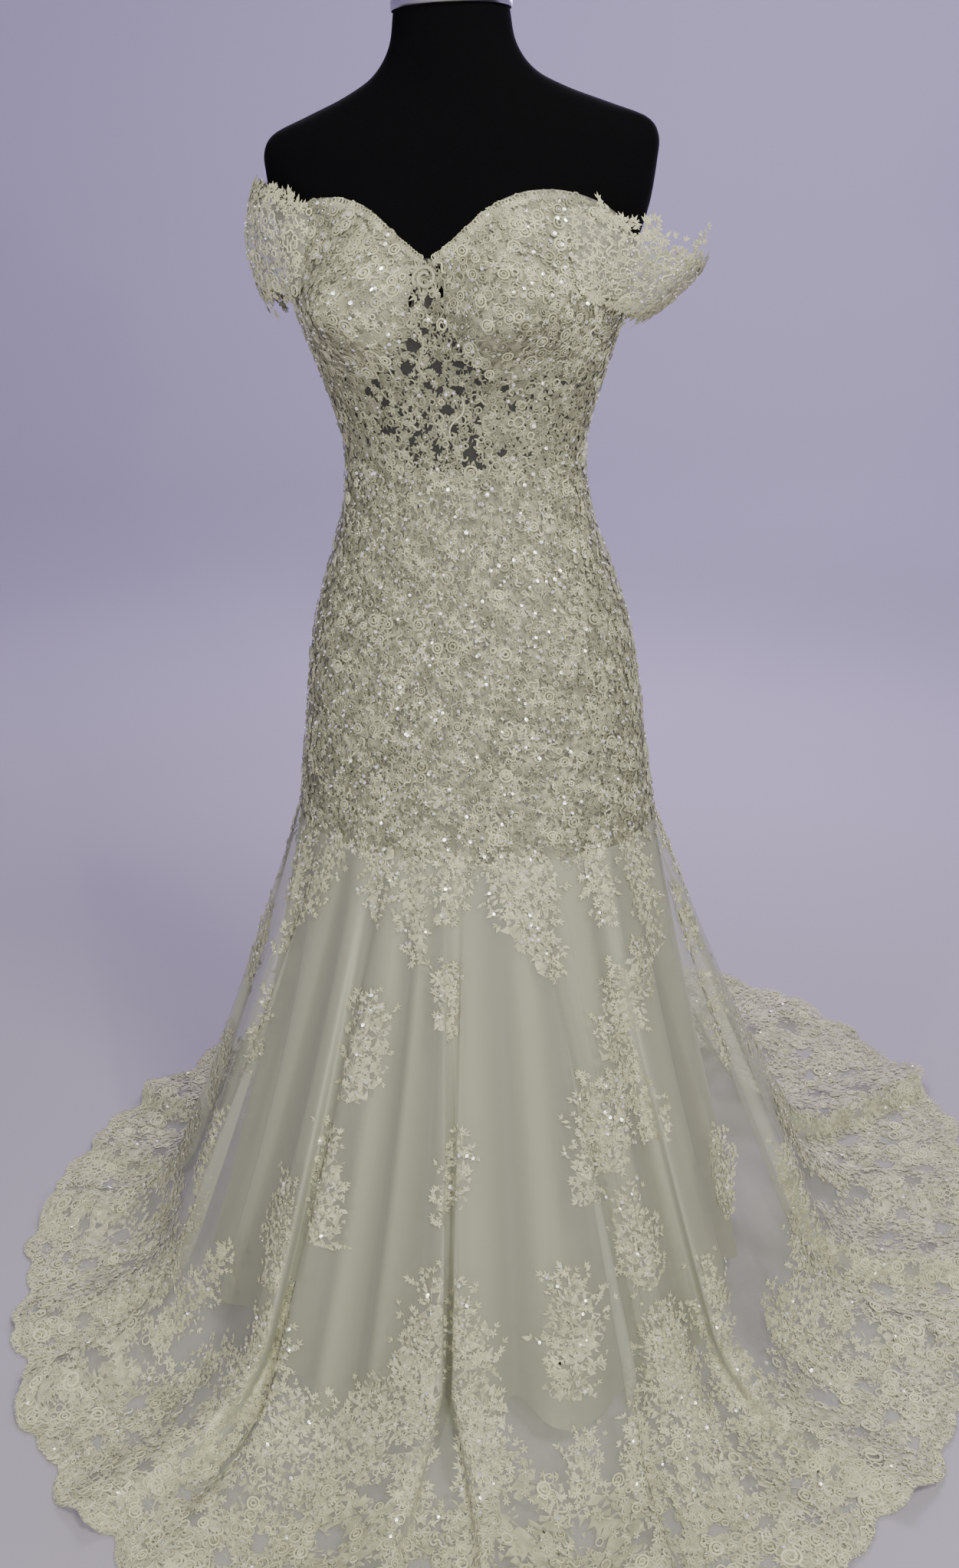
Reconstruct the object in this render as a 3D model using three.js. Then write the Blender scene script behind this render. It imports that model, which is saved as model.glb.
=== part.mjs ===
// A trumpet wedding gown with an off-shoulder lace bodice, a flared net overskirt and a
// lace-bordered train, worn by a limbless dress form on a round stand.
// Millimetres, +Z up, the gown's front faces -Y and the origin is under the stand on the floor.
// Angles run round the Z axis from the front (0) over the wearer's left, +X (90), to the back (180).
import * as THREE from "three";

// Heights of the gown's seams and edges
const WAIST_Z = 1035;
const THIGH_SEAM_Z = 630;
const LINING_HEM_Z = 32;
const FLARE_END_Z = 90;

// Cloth walls and the gaps between pieces
const SEAM_GAP = 0.3;
const NET_WALL = 1.0;
const LINING_WALL = 1.2;
const BODICE_WALL = 1.6;
const LACE_WALL = 1.4;
const LACE_RELIEF = 1.1;
const FORM_GAP = 0.9;
const FORM_CUP_EASE = 6.5;
const FORM_BACK_EASE = 1.6;
const APPLIQUE_LIFT = 0.9;

// Columns that every skirt panel's grid is counted in, all the way round
const LINING_COLUMNS = 48;
const NET_COLUMNS = 96;
const BORDER_SPLIT = 2;
const COLUMNS_PER_SCALLOP = 3;

// Scalloped hem: depth of a scallop, and the eyelet's share of its cell
const SCALLOP_DEPTH = 9;
const EYELET_SHARE = 0.42;
const MIDRIFF_GAP_SHARE = 0.5;

// The overskirt: how hollow its trumpet flare is, and how far it curves before it lies flat
const FLARE_HOLLOW = 0.15;
const LANDING_RUN = 110;

// The lining's folds below the thigh seam: how many, how deep at the hem, and how the depth varies
const LINING_FOLDS = 24;
const LINING_FOLD_DEPTH = 40;
const LINING_FOLD_VARY = 9;

// The hem's slow waves on the floor
const HEM_WAVES = 30;
const HEM_WAVE_DEPTH = 8;

// The lace border begins part way down the landing curve, with an even wave of points
const BORDER = { start: 1.42, wave: 0.16, points: 16 };

// The dress form's cover and stand
const NECK_TOP_Z = 1482;
const FORM_BOTTOM_Z = 700;
const FORM_TAPER_Z = 800;
const FORM_TAPER = 26;
const CAP_HEIGHT = 14;
const POLE_RADIUS = 16;
const BASE_RADIUS = 150;
const BASE_THICKNESS = 14;

// The body that the bodice and hips are cut to, as sections at each height: half the width,
// the depth in front of and behind the stand's axis, and the roundness of the oval.
const BODY = [
  { z: 630, half: 216, front: 168, back: 186, round: 2.0 },
  { z: 690, half: 207, front: 150, back: 176, round: 2.05 },
  { z: 750, half: 199, front: 136, back: 168, round: 2.1 },
  { z: 800, half: 192, front: 126, back: 160, round: 2.15 },
  { z: 850, half: 184, front: 117, back: 150, round: 2.2 },
  { z: 890, half: 173, front: 110, back: 138, round: 2.2 },
  { z: 940, half: 155, front: 103, back: 122, round: 2.2 },
  { z: 990, half: 138, front: 97, back: 108, round: 2.2 },
  { z: 1035, half: 132, front: 94, back: 102, round: 2.2 },
  { z: 1070, half: 134, front: 94, back: 101, round: 2.2 },
  { z: 1110, half: 145, front: 97, back: 104, round: 2.2 },
  { z: 1150, half: 158, front: 102, back: 108, round: 2.25 },
  { z: 1200, half: 175, front: 106, back: 112, round: 2.3 },
  { z: 1235, half: 180, front: 104, back: 114, round: 2.3 },
  { z: 1265, half: 190, front: 98, back: 113, round: 2.3 },
  { z: 1300, half: 202, front: 90, back: 109, round: 2.3 },
  { z: 1340, half: 209, front: 80, back: 101, round: 2.3 },
  { z: 1362, half: 210, front: 73, back: 92, round: 2.3 },
  { z: 1378, half: 199, front: 66, back: 82, round: 2.2 },
  { z: 1392, half: 163, front: 60, back: 72, round: 2.1 },
  { z: 1408, half: 120, front: 56, back: 64, round: 2.0 },
  { z: 1425, half: 87, front: 54, back: 58, round: 2.0 },
  { z: 1450, half: 67, front: 53, back: 55, round: 2.0 },
  { z: 1482, half: 60, front: 52, back: 53, round: 2.0 },
];

// The bodice's moulded cups: place, spread and height of each one's fullness
const CUP_FULLNESS = { z: 1203, angle: 36, spread: 21, above: 62, below: 46, height: 46 };

// Lower and upper edge of a cup, from beside the centre front to the side seam
const CUP_EDGE = [
  { angle: 5, low: 1229, top: 1259 },
  { angle: 12, low: 1190, top: 1268 },
  { angle: 20, low: 1163, top: 1280 },
  { angle: 28, low: 1148, top: 1292 },
  { angle: 36, low: 1141, top: 1302 },
  { angle: 44, low: 1140, top: 1309 },
  { angle: 52, low: 1143, top: 1313 },
  { angle: 62, low: 1148, top: 1311 },
  { angle: 72, low: 1152, top: 1296 },
  { angle: 84.8, low: 1156, top: 1262 },
];
const CENTRE_STRIP = { halfAngle: 3.7, footAngle: 4.3, top: 1254, foot: 1225 };

// Upper edge of the back bodice, from the side seam to the zip
const BACK_EDGE = [
  { angle: 85.2, top: 1261 },
  { angle: 110, top: 1236 },
  { angle: 140, top: 1210 },
  { angle: 179.8, top: 1202 },
];

// Where the overskirt's flare meets the floor, where its hem lies, and where the lining's flare
// would meet the floor, round the gown
const FLOOR_LINE = [
  { angle: 0, landing: 436, hem: 662, lining: 418 },
  { angle: 30, landing: 434, hem: 668, lining: 412 },
  { angle: 60, landing: 438, hem: 656, lining: 388 },
  { angle: 90, landing: 446, hem: 672, lining: 352 },
  { angle: 120, landing: 462, hem: 736, lining: 356 },
  { angle: 150, landing: 482, hem: 784, lining: 384 },
  { angle: 180, landing: 490, hem: 770, lining: 398 },
  { angle: 210, landing: 480, hem: 712, lining: 384 },
  { angle: 240, landing: 460, hem: 642, lining: 356 },
  { angle: 270, landing: 444, hem: 636, lining: 350 },
  { angle: 300, landing: 438, hem: 628, lining: 386 },
  { angle: 330, landing: 434, hem: 648, lining: 410 },
];

// The overskirt's flutes: place, depth, half width in degrees, how far each one swings by the
// hem, and the share of its depth that is left there, where it has drawn in to a narrower ridge
const FLUTE_RISE = 0.75;
const FLUTE_NARROWING = 0.5;
const FLUTES = [
  { angle: -173, depth: 24, width: 8.4, lean: 2, tail: 0.7 },
  { angle: -156, depth: 19, width: 7.6, lean: -3, tail: 0.45 },
  { angle: -139, depth: 27, width: 8.6, lean: -2, tail: 0.75 },
  { angle: -122, depth: 20, width: 7.8, lean: 3, tail: 0.5 },
  { angle: -106, depth: 25, width: 8.2, lean: 1, tail: 0.8 },
  { angle: -90, depth: 18, width: 7.4, lean: -2, tail: 0.4 },
  { angle: -74, depth: 26, width: 8.0, lean: -3, tail: 0.7 },
  { angle: -59, depth: 17, width: 6.8, lean: 2, tail: 0.4 },
  { angle: -44, depth: 24, width: 7.6, lean: -1, tail: 0.6 },
  { angle: -29, depth: 28, width: 7.2, lean: 2, tail: 0.5 },
  { angle: -14, depth: 19, width: 6.6, lean: -2, tail: 0.3 },
  { angle: 1, depth: 27, width: 7.6, lean: 1, tail: 0.5 },
  { angle: 17, depth: 22, width: 7.2, lean: 3, tail: 0.35 },
  { angle: 32, depth: 28, width: 7.4, lean: -1, tail: 0.6 },
  { angle: 47, depth: 18, width: 6.8, lean: 2, tail: 0.3 },
  { angle: 63, depth: 26, width: 8.0, lean: -2, tail: 0.6 },
  { angle: 79, depth: 20, width: 7.4, lean: 3, tail: 0.5 },
  { angle: 95, depth: 25, width: 8.0, lean: 2, tail: 0.8 },
  { angle: 112, depth: 19, width: 7.8, lean: -3, tail: 0.5 },
  { angle: 129, depth: 28, width: 8.6, lean: 2, tail: 0.85 },
  { angle: 147, depth: 22, width: 8.2, lean: 3, tail: 0.75 },
  { angle: 165, depth: 26, width: 8.6, lean: -2, tail: 0.7 },
];

// Off-shoulder sleeve bands, by the wearer's side: the heights of the top and the lower edge at the
// front end, the outermost point and the back end, how far each edge stands off the shoulder, and
// how full the band is between them. With no arm in it, the left band has flopped outwards.
const SLEEVES = [
  {
    name: "left",
    side: 1,
    top: [1300, 1240, 1248],
    low: [1222, 1196, 1188],
    topReach: 42,
    lowReach: -6,
    belly: 4,
  },
  {
    name: "right",
    side: -1,
    top: [1302, 1318, 1262],
    low: [1220, 1224, 1190],
    topReach: 11,
    lowReach: 13,
    belly: 9,
  },
];
const SLEEVE_ENDS = { front: 60, back: 122 };
const SHOULDER_Z = 1325;
const SLEEVE_SEAT = 2.9;
const SLEEVE_CLEAR = 6;
const SLEEVE_EDGE_WAVE = 5;

// Heights of the lining's rows: the fitted hips first, then the flare.
const HIP_ROWS = [WAIST_Z - SEAM_GAP, 985, 935, 885, 825, 740, THIGH_SEAM_Z];
const FLARE_ROWS = [430, 230, LINING_HEM_Z];

// Net overskirt gores, as the first and last of the columns counted from the back seam
const GORES = [
  { name: "right", from: 12, to: 36 },
  { name: "front", from: 36, to: 60 },
  { name: "left", from: 60, to: 84 },
  { name: "train", from: 84, to: 108 },
];

// Lace points that run down from the hip lace: column, length in half rows, width in columns
const LACE_POINTS = [
  { column: 38, length: 2, width: 0.9 },
  { column: 42, length: 2, width: 0.9 },
  { column: 47, length: 2, width: 0.9 },
  { column: 53, length: 2, width: 0.9 },
  { column: 57, length: 2, width: 0.9 },
  { column: 66, length: 2, width: 0.9 },
  { column: 76, length: 3, width: 0.9 },
  { column: 24, length: 3, width: 0.9 },
  { column: 90, length: 3, width: 0.9 },
  { column: 102, length: 2, width: 0.9 },
];

// Lace sprigs on the overskirt: column, first half row, length in half rows
const SPRIGS = [
  { column: 44, start: 2, length: 2 },
  { column: 50, start: 1, length: 2 },
  { column: 61, start: 1, length: 2 },
  { column: 70, start: 1, length: 2 },
  { column: 35, start: 2, length: 3 },
  { column: 45, start: 4, length: 3 },
  { column: 51, start: 4, length: 2 },
  { column: 56, start: 3, length: 3 },
  { column: 59, start: 3, length: 2 },
  { column: 63, start: 3, length: 2 },
  { column: 61, start: 5, length: 2 },
  { column: 40, start: 5, length: 2 },
  { column: 43, start: 6, length: 2 },
  { column: 48, start: 6, length: 2 },
  { column: 55, start: 6, length: 2 },
  { column: 33, start: 5, length: 3 },
  { column: 72, start: 5, length: 3 },
  { column: 18, start: 4, length: 3 },
  { column: 81, start: 3, length: 3 },
  { column: 92, start: 4, length: 3 },
  { column: 101, start: 3, length: 3 },
];
const SPRIG_WIDTH = 0.92;

const TURN = 2 * Math.PI;
const radians = (degrees) => THREE.MathUtils.degToRad(degrees);

// One column of a table at a position, on a smooth curve through its rows.
function readTable(rows, key, column, at) {
  const last = rows.length - 1;
  if (at <= rows[0][key]) return rows[0][column];
  if (at >= rows[last][key]) return rows[last][column];
  let i = 0;
  while (rows[i + 1][key] < at) i++;
  const slope = (k) => {
    const before = rows[Math.max(k - 1, 0)];
    const after = rows[Math.min(k + 1, last)];
    return (after[column] - before[column]) / (after[key] - before[key]);
  };
  const span = rows[i + 1][key] - rows[i][key];
  const s = (at - rows[i][key]) / span;
  const from = rows[i][column];
  const rise = rows[i + 1][column] - from;
  const bend = s * (1 - s) * span;
  const ease = s * s * (3 - 2 * s);
  return from + rise * ease + bend * (slope(i) * (1 - s) - slope(i + 1) * s);
}

// The floor table goes all the way round, so its rows are repeated past both ends.
const FLOOR_RING = [-360, 0, 360].flatMap((shift) =>
  FLOOR_LINE.map((row) => ({ ...row, angle: row.angle + shift })),
);

const polar = (angle, radius, z) =>
  new THREE.Vector3(radius * Math.sin(angle), -radius * Math.cos(angle), z);

// Distance in degrees between two directions, from -180 to 180
const turnBetween = (a, b) => ((((a - b + 180) % 360) + 360) % 360) - 180;

// Radius of the inside of the fitted cloth, at an angle in degrees and a height.
function bodyRadius(angle, z) {
  const across = Math.abs(Math.sin(radians(angle)));
  const along = Math.cos(radians(angle));
  const half = readTable(BODY, "z", "half", z);
  const depth = readTable(BODY, "z", along >= 0 ? "front" : "back", z);
  const round = readTable(BODY, "z", "round", z);
  const oval = (across / half) ** round + (Math.abs(along) / depth) ** round;
  const aside = (Math.abs(turnBetween(angle, 0)) - CUP_FULLNESS.angle) / CUP_FULLNESS.spread;
  const reach = z > CUP_FULLNESS.z ? CUP_FULLNESS.above : CUP_FULLNESS.below;
  const rise = (z - CUP_FULLNESS.z) / reach;
  return oval ** (-1 / round) + CUP_FULLNESS.height * Math.exp(-aside * aside - rise * rise);
}

// Radius of the lining's inside: fitted to the thigh, then flared in folds of uneven depth.
function liningRadius(angle, z) {
  if (z >= THIGH_SEAM_Z) return bodyRadius(angle, z);
  const drop = (THIGH_SEAM_Z - z) / THIGH_SEAM_Z;
  const seam = bodyRadius(angle, THIGH_SEAM_Z);
  const landing = readTable(FLOOR_RING, "angle", "lining", angle);
  const fold = 0.5 - 0.5 * Math.cos(radians(LINING_FOLDS * angle));
  const depth = LINING_FOLD_DEPTH + LINING_FOLD_VARY * Math.sin(radians(5 * angle) + 1);
  return seam + (landing - seam) * hollow(drop) - depth * drop * fold;
}

// A trumpet's flare: slow at first, then faster.
const hollow = (s) => s + FLARE_HOLLOW * s * (s - 1);

// Outward height of the flutes on the overskirt, at a place from the seam (0) through the
// flare's end (1) and the landing (2) to the hem (3).
function fluteHeight(angle, place) {
  let height = 0;
  for (const flute of FLUTES) {
    const falling = Math.max(place - 1, 0) / 2;
    const width = flute.width * (1 - FLUTE_NARROWING * falling);
    const aside = turnBetween(angle, flute.angle + (flute.lean * place) / 3) / width;
    if (Math.abs(aside) >= 1) continue;
    const rise = Math.min(place, 1) ** FLUTE_RISE * (1 + (flute.tail - 1) * falling);
    height += flute.depth * rise * (1 - aside * aside) ** 2;
  }
  return height;
}

// How far the hem swings out or in at an angle in degrees, in slow uneven waves.
const hemWave = (angle) =>
  HEM_WAVE_DEPTH * Math.sin(radians(HEM_WAVES * angle) + 2 * Math.sin(radians(3 * angle)));

// Inside of the overskirt at an angle in degrees and a place down its length.
function skirtPoint(angle, place, hemShift = 0) {
  const seam = bodyRadius(angle, THIGH_SEAM_Z) + LINING_WALL + 3 * SEAM_GAP;
  const landing = readTable(FLOOR_RING, "angle", "landing", angle);
  const hem = readTable(FLOOR_RING, "angle", "hem", angle) + hemWave(angle) + hemShift;
  const start = THIGH_SEAM_Z - 1.5;
  const profile = (at) => {
    if (at <= 1) {
      const z = start + (FLARE_END_Z - start) * at;
      const drop = (start - z) / start;
      return [seam + (landing - seam) * hollow(drop), z];
    }
    const foot = [seam + (landing - seam) * hollow((start - FLARE_END_Z) / start), FLARE_END_Z];
    if (at <= 2) {
      const s = at - 1;
      const near = (1 - s) * (1 - s);
      const mid = 2 * s * (1 - s);
      return [near * foot[0] + mid * landing + s * s * (landing + LANDING_RUN), near * foot[1]];
    }
    return [landing + LANDING_RUN + (hem - landing - LANDING_RUN) * (at - 2), 0];
  };
  const step = 0.01;
  const [radius, z] = profile(place);
  const before = profile(Math.max(place - step, 0));
  const after = profile(Math.min(place + step, 3));
  const out = new THREE.Vector2(before[1] - after[1], after[0] - before[0]).normalize();
  const height = fluteHeight(angle, place);
  return polar(radians(angle), radius + out.x * height, z + out.y * height);
}

// Where the lace border takes over from the net, as a place down the overskirt.
const borderPlace = (angle) =>
  BORDER.start - BORDER.wave * Math.cos(BORDER.points * radians(angle));

// A grid of points, columns by rows.
const grid = (columns, rows, point) => columns.map((c, i) => rows.map((r, j) => point(c, r, i, j)));

const evenly = (from, to, count) =>
  Array.from({ length: count + 1 }, (_, i) => from + ((to - from) * i) / count);

// Outward normals of a grid whose columns run round the gown and whose rows run down it.
function gridNormals(points) {
  return points.map((column, i) =>
    column.map((_, j) => {
      const left = points[Math.max(i - 1, 0)][j];
      const right = points[Math.min(i + 1, points.length - 1)][j];
      const above = column[Math.max(j - 1, 0)];
      const below = column[Math.min(j + 1, column.length - 1)];
      const round = right.clone().sub(left);
      const down = below.clone().sub(above);
      return down.cross(round).normalize();
    }),
  );
}

const lifted = (points, normals, lift) =>
  points.map((column, i) =>
    column.map((p, j) => p.clone().addScaledVector(normals[i][j], lift(i, j))),
  );

// A closed wall between two grids. A cell whose share is over 0 gets a diamond gap right through.
function wall(inner, outer, gapShare = () => 0) {
  const corners = [];
  const triangle = (...points) => points.forEach((p) => corners.push(p.x, p.y, p.z));
  const quad = (a, b, c, d) => {
    triangle(a, b, c);
    triangle(a, c, d);
  };
  const columns = inner.length - 1;
  const rows = inner[0].length - 1;
  const ring = (g, i, j) => [g[i][j], g[i][j + 1], g[i + 1][j + 1], g[i + 1][j]];
  const diamond = (cell, share) => {
    const centre = cell.reduce((sum, p) => sum.add(p), new THREE.Vector3()).divideScalar(4);
    return cell.map((p, k) => p.clone().lerp(cell[(k + 1) % 4], 0.5).lerp(centre, 1 - share));
  };
  for (let i = 0; i < columns; i++) {
    for (let j = 0; j < rows; j++) {
      const out = ring(outer, i, j);
      const back = ring(inner, i, j);
      const share = gapShare(i, j);
      if (share <= 0) {
        quad(...out);
        quad(back[0], back[3], back[2], back[1]);
        continue;
      }
      const outGap = diamond(out, share);
      const backGap = diamond(back, share);
      for (let k = 0; k < 4; k++) {
        const next = (k + 1) % 4;
        triangle(out[k], out[next], outGap[k]);
        triangle(out[next], outGap[next], outGap[k]);
        triangle(back[next], back[k], backGap[k]);
        triangle(back[next], backGap[k], backGap[next]);
        quad(outGap[k], outGap[next], backGap[next], backGap[k]);
      }
    }
  }
  for (let i = 0; i < columns; i++) {
    quad(outer[i + 1][0], inner[i + 1][0], inner[i][0], outer[i][0]);
    quad(outer[i][rows], inner[i][rows], inner[i + 1][rows], outer[i + 1][rows]);
  }
  for (let j = 0; j < rows; j++) {
    quad(outer[0][j], inner[0][j], inner[0][j + 1], outer[0][j + 1]);
    quad(outer[columns][j + 1], inner[columns][j + 1], inner[columns][j], outer[columns][j]);
  }
  return solid(corners);
}

function solid(corners) {
  const geometry = new THREE.BufferGeometry();
  geometry.setAttribute("position", new THREE.Float32BufferAttribute(corners, 3));
  geometry.computeVertexNormals();
  return geometry;
}

// A point on a faceted grid at a fractional column and row, on the facet itself, moved out.
function onGrid(points, normals, u, v, lift) {
  const i = Math.min(Math.floor(u), points.length - 2);
  const j = Math.min(Math.floor(v), points[0].length - 2);
  const s = u - i;
  const t = v - j;
  const mix = (g) => {
    const start = g[i][j].clone();
    const down = t >= s ? g[i][j + 1].clone().sub(g[i][j]) : g[i + 1][j + 1].clone().sub(g[i + 1][j]);
    const round = t >= s ? g[i + 1][j + 1].clone().sub(g[i][j + 1]) : g[i + 1][j].clone().sub(g[i][j]);
    return start.addScaledVector(down, t).addScaledVector(round, s);
  };
  return mix(points).addScaledVector(mix(normals).normalize(), lift);
}

// A closed solid through rings of points, from the lowest to the highest, with flat ends.
function loft(rings) {
  const corners = [];
  const triangle = (...points) => points.forEach((p) => corners.push(p.x, p.y, p.z));
  const count = rings[0].length;
  const middle = (ring) =>
    ring.reduce((sum, p) => sum.add(p), new THREE.Vector3()).divideScalar(ring.length);
  const bottom = middle(rings[0]);
  const top = middle(rings.at(-1));
  for (let k = 0; k < count; k++) {
    const next = (k + 1) % count;
    for (let r = 0; r + 1 < rings.length; r++) {
      triangle(rings[r][k], rings[r][next], rings[r + 1][next]);
      triangle(rings[r][k], rings[r + 1][next], rings[r + 1][k]);
    }
    triangle(bottom, rings[0][next], rings[0][k]);
    triangle(top, rings.at(-1)[k], rings.at(-1)[next]);
  }
  return solid(corners);
}

const cloth = (colour, roughness, opacity = 1) =>
  new THREE.MeshStandardMaterial({
    color: colour,
    roughness,
    metalness: 0,
    opacity,
    transparent: opacity < 1,
    side: THREE.DoubleSide,
  });
const LACE = cloth(0xe2dfd0, 0.75);
const NET = cloth(0xd9d8cb, 0.9, 0.45);
const LINING = cloth(0xd3d1bd, 0.5);
const ILLUSION = cloth(0x8f8d84, 0.9, 0.35);
const VELVET = cloth(0x08080a, 0.95);
const STEEL = new THREE.MeshStandardMaterial({ color: 0xb9b9bb, roughness: 0.3, metalness: 1 });
const BASE_PAINT = new THREE.MeshStandardMaterial({ color: 0x17171a, roughness: 0.45, metalness: 0.3 });

function named(name, geometry, material) {
  const mesh = new THREE.Mesh(geometry, material);
  mesh.name = name;
  return mesh;
}

// Room left between the form and the moulded front of the bodice, at an angle and a height.
function formEase(angle, z) {
  const aside = Math.abs(turnBetween(angle, 0));
  const front = THREE.MathUtils.smoothstep(105 - aside, 0, 25);
  const above = THREE.MathUtils.smoothstep(z, 1030, 1080);
  const below = THREE.MathUtils.smoothstep(1365 - z, 0, 25);
  return FORM_GAP + (FORM_BACK_EASE + (FORM_CUP_EASE - FORM_BACK_EASE) * front) * above * below;
}

// Heights of the form's sections: on the lining's own rows below the waist, closest at the bust
const FORM_ROWS = [
  FORM_BOTTOM_Z,
  ...HIP_ROWS.slice(0, -1).reverse(),
  ...evenly(1065, 1270, 8),
  ...BODY.map((row) => row.z).filter((z) => z >= 1300),
];

// The form's cover ends in a flat underside, with its hips tapering in below the fullest part.
function formTorso() {
  const sides = evenly(0, 360, LINING_COLUMNS / 2).slice(0, -1);
  const rings = FORM_ROWS.map((z) => {
    const taper = FORM_TAPER * Math.max((FORM_TAPER_Z - z) / (FORM_TAPER_Z - FORM_BOTTOM_Z), 0);
    return sides.map((a) => polar(radians(a), bodyRadius(a, z) - formEase(a, z) - taper, z));
  });
  return named("form_torso", loft(rings), VELVET);
}

function neckCap() {
  const sides = evenly(0, 360, 28).slice(0, -1);
  const steps = [
    { rise: SEAM_GAP, grow: 1 },
    { rise: CAP_HEIGHT * 0.7, grow: 1 },
    { rise: CAP_HEIGHT, grow: -4 },
  ];
  const rings = steps.map(({ rise, grow }) =>
    sides.map((a) => polar(radians(a), bodyRadius(a, NECK_TOP_Z) + grow, NECK_TOP_Z + rise)),
  );
  return named("form_neck_cap", loft(rings), STEEL);
}

function stand() {
  const group = new THREE.Group();
  const poleFoot = BASE_THICKNESS + SEAM_GAP;
  const poleLength = FORM_BOTTOM_Z - SEAM_GAP - poleFoot;
  const pole = new THREE.CylinderGeometry(POLE_RADIUS, POLE_RADIUS, poleLength, 16);
  const poleMesh = named("form_pole", pole, STEEL);
  poleMesh.rotation.x = Math.PI / 2;
  poleMesh.position.z = poleFoot + poleLength / 2;
  const edge = [
    { radius: BASE_RADIUS, z: 0 },
    { radius: BASE_RADIUS, z: BASE_THICKNESS * 0.6 },
    { radius: BASE_RADIUS - 8, z: BASE_THICKNESS },
  ];
  const sides = evenly(0, TURN, 40).slice(0, -1);
  const rings = edge.map(({ radius, z }) => sides.map((a) => polar(a, radius, z)));
  group.add(poleMesh, named("form_base", loft(rings), BASE_PAINT));
  return group;
}

// A wall on the body from its inside to its outside, its rows running down from an upper edge.
function fittedWall(angles, rowCount, top, low, from, to) {
  const rows = evenly(0, 1, rowCount);
  const at = (lift) =>
    grid(angles, rows, (a, r) => {
      const z = top(a) + (low(a) - top(a)) * r;
      return polar(radians(a), bodyRadius(a, z) + lift, z);
    });
  return { inner: at(from), outer: at(to) };
}

// A cup reaches from the sweetheart edge to its underbust seam and round to the side seam.
function cup(name, side) {
  const edge = (column) => (a) => readTable(CUP_EDGE, "angle", column, Math.abs(a));
  const angles = CUP_EDGE.map((row) => side * row.angle).sort((a, b) => a - b);
  const { inner, outer } = fittedWall(angles, 6, edge("top"), edge("low"), 0, BODICE_WALL);
  return named(name, wall(inner, outer), LACE);
}

// A wall on the sheer front below the cups, with the strip between them that runs up to the neckline.
function midriffWall(from, to) {
  const half = [
    0,
    CENTRE_STRIP.halfAngle,
    CENTRE_STRIP.footAngle,
    ...CUP_EDGE.slice(1).map((row) => row.angle),
  ];
  const angles = [...half.slice(1).map((a) => -a).reverse(), ...half];
  const top = (a) => {
    const aside = Math.abs(a);
    if (aside <= CENTRE_STRIP.halfAngle) return CENTRE_STRIP.top;
    if (aside <= CENTRE_STRIP.footAngle) return CENTRE_STRIP.foot;
    return readTable(CUP_EDGE, "angle", "low", aside) - 2 * SEAM_GAP;
  };
  return fittedWall(angles, 5, top, () => WAIST_Z + SEAM_GAP, from, to);
}

function midriffNet() {
  const { inner, outer } = midriffWall(0, NET_WALL);
  return named("midriff_net", wall(inner, outer), ILLUSION);
}

// Lace on the sheer front, laid on the net's own points and cut through between its motifs.
function midriffLace() {
  const rest = NET_WALL + 4 * SEAM_GAP;
  const { inner, outer } = midriffWall(rest, rest + LACE_WALL);
  const middle = (inner.length - 1) / 2;
  const inStrip = (i) => Math.abs(i + 0.5 - middle) < 2;
  const gap = (i, j) => (!inStrip(i) && j > 0 && i % 2 === 0 ? MIDRIFF_GAP_SHARE : 0);
  return named("midriff_lace", wall(inner, outer, gap), LACE);
}

function backBodice(name, side) {
  const angles = evenly(BACK_EDGE[0].angle, BACK_EDGE.at(-1).angle, 8).map((a) => side * a);
  const top = (a) => readTable(BACK_EDGE, "angle", "top", Math.abs(a));
  angles.sort((a, b) => a - b);
  const { inner, outer } = fittedWall(angles, 5, top, () => WAIST_Z + SEAM_GAP, 0, BODICE_WALL);
  return named(name, wall(inner, outer), LACE);
}

// The closed zip runs down the centre back, over the meeting edges of the panels.
function backZip() {
  const rest = BODICE_WALL + 2 * SEAM_GAP;
  const { inner, outer } = fittedWall(
    evenly(178.7, 181.3, 2),
    8,
    () => BACK_EDGE.at(-1).top - 2,
    () => 850,
    rest,
    rest + NET_WALL,
  );
  return named("back_zip", wall(inner, outer), LINING);
}

// A lining panel between two columns counted from the back seam.
function liningPanel(from, to) {
  const turn = 360 / LINING_COLUMNS;
  const angles = evenly(from * turn - 180, to * turn - 180, to - from);
  angles[0] += 0.05;
  angles[angles.length - 1] -= 0.05;
  const inner = grid(angles, [...HIP_ROWS, ...FLARE_ROWS], (a, z) =>
    polar(radians(a), liningRadius(a, z), z),
  );
  const outer = inner.map((column) =>
    column.map((p) => {
      const flat = Math.hypot(p.x, p.y);
      const grow = (flat + LINING_WALL) / flat;
      return new THREE.Vector3(p.x * grow, p.y * grow, p.z);
    }),
  );
  return { inner, outer };
}

// Hip lace on a lining panel, raised in a close all-over pattern; trim leaves room for the zip.
function hipLace(panel, trimStart, trimEnd) {
  const normals = gridNormals(panel.outer);
  const last = panel.outer.length - 1;
  const columns = evenly(0, last, last);
  columns[0] = trimStart;
  columns[last] -= trimEnd;
  const hipRows = HIP_ROWS.length - 1;
  const rows = evenly(0, hipRows, hipRows);
  const seat = (lift) => (u, v, i, j) => onGrid(panel.outer, normals, u, v, lift(i, j));
  const raised = (i, j) => SEAM_GAP + LACE_WALL + (((i + j) % 2) * LACE_RELIEF);
  return wall(
    grid(columns, rows, seat(() => SEAM_GAP)),
    grid(columns, rows, seat(raised)),
  );
}

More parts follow.
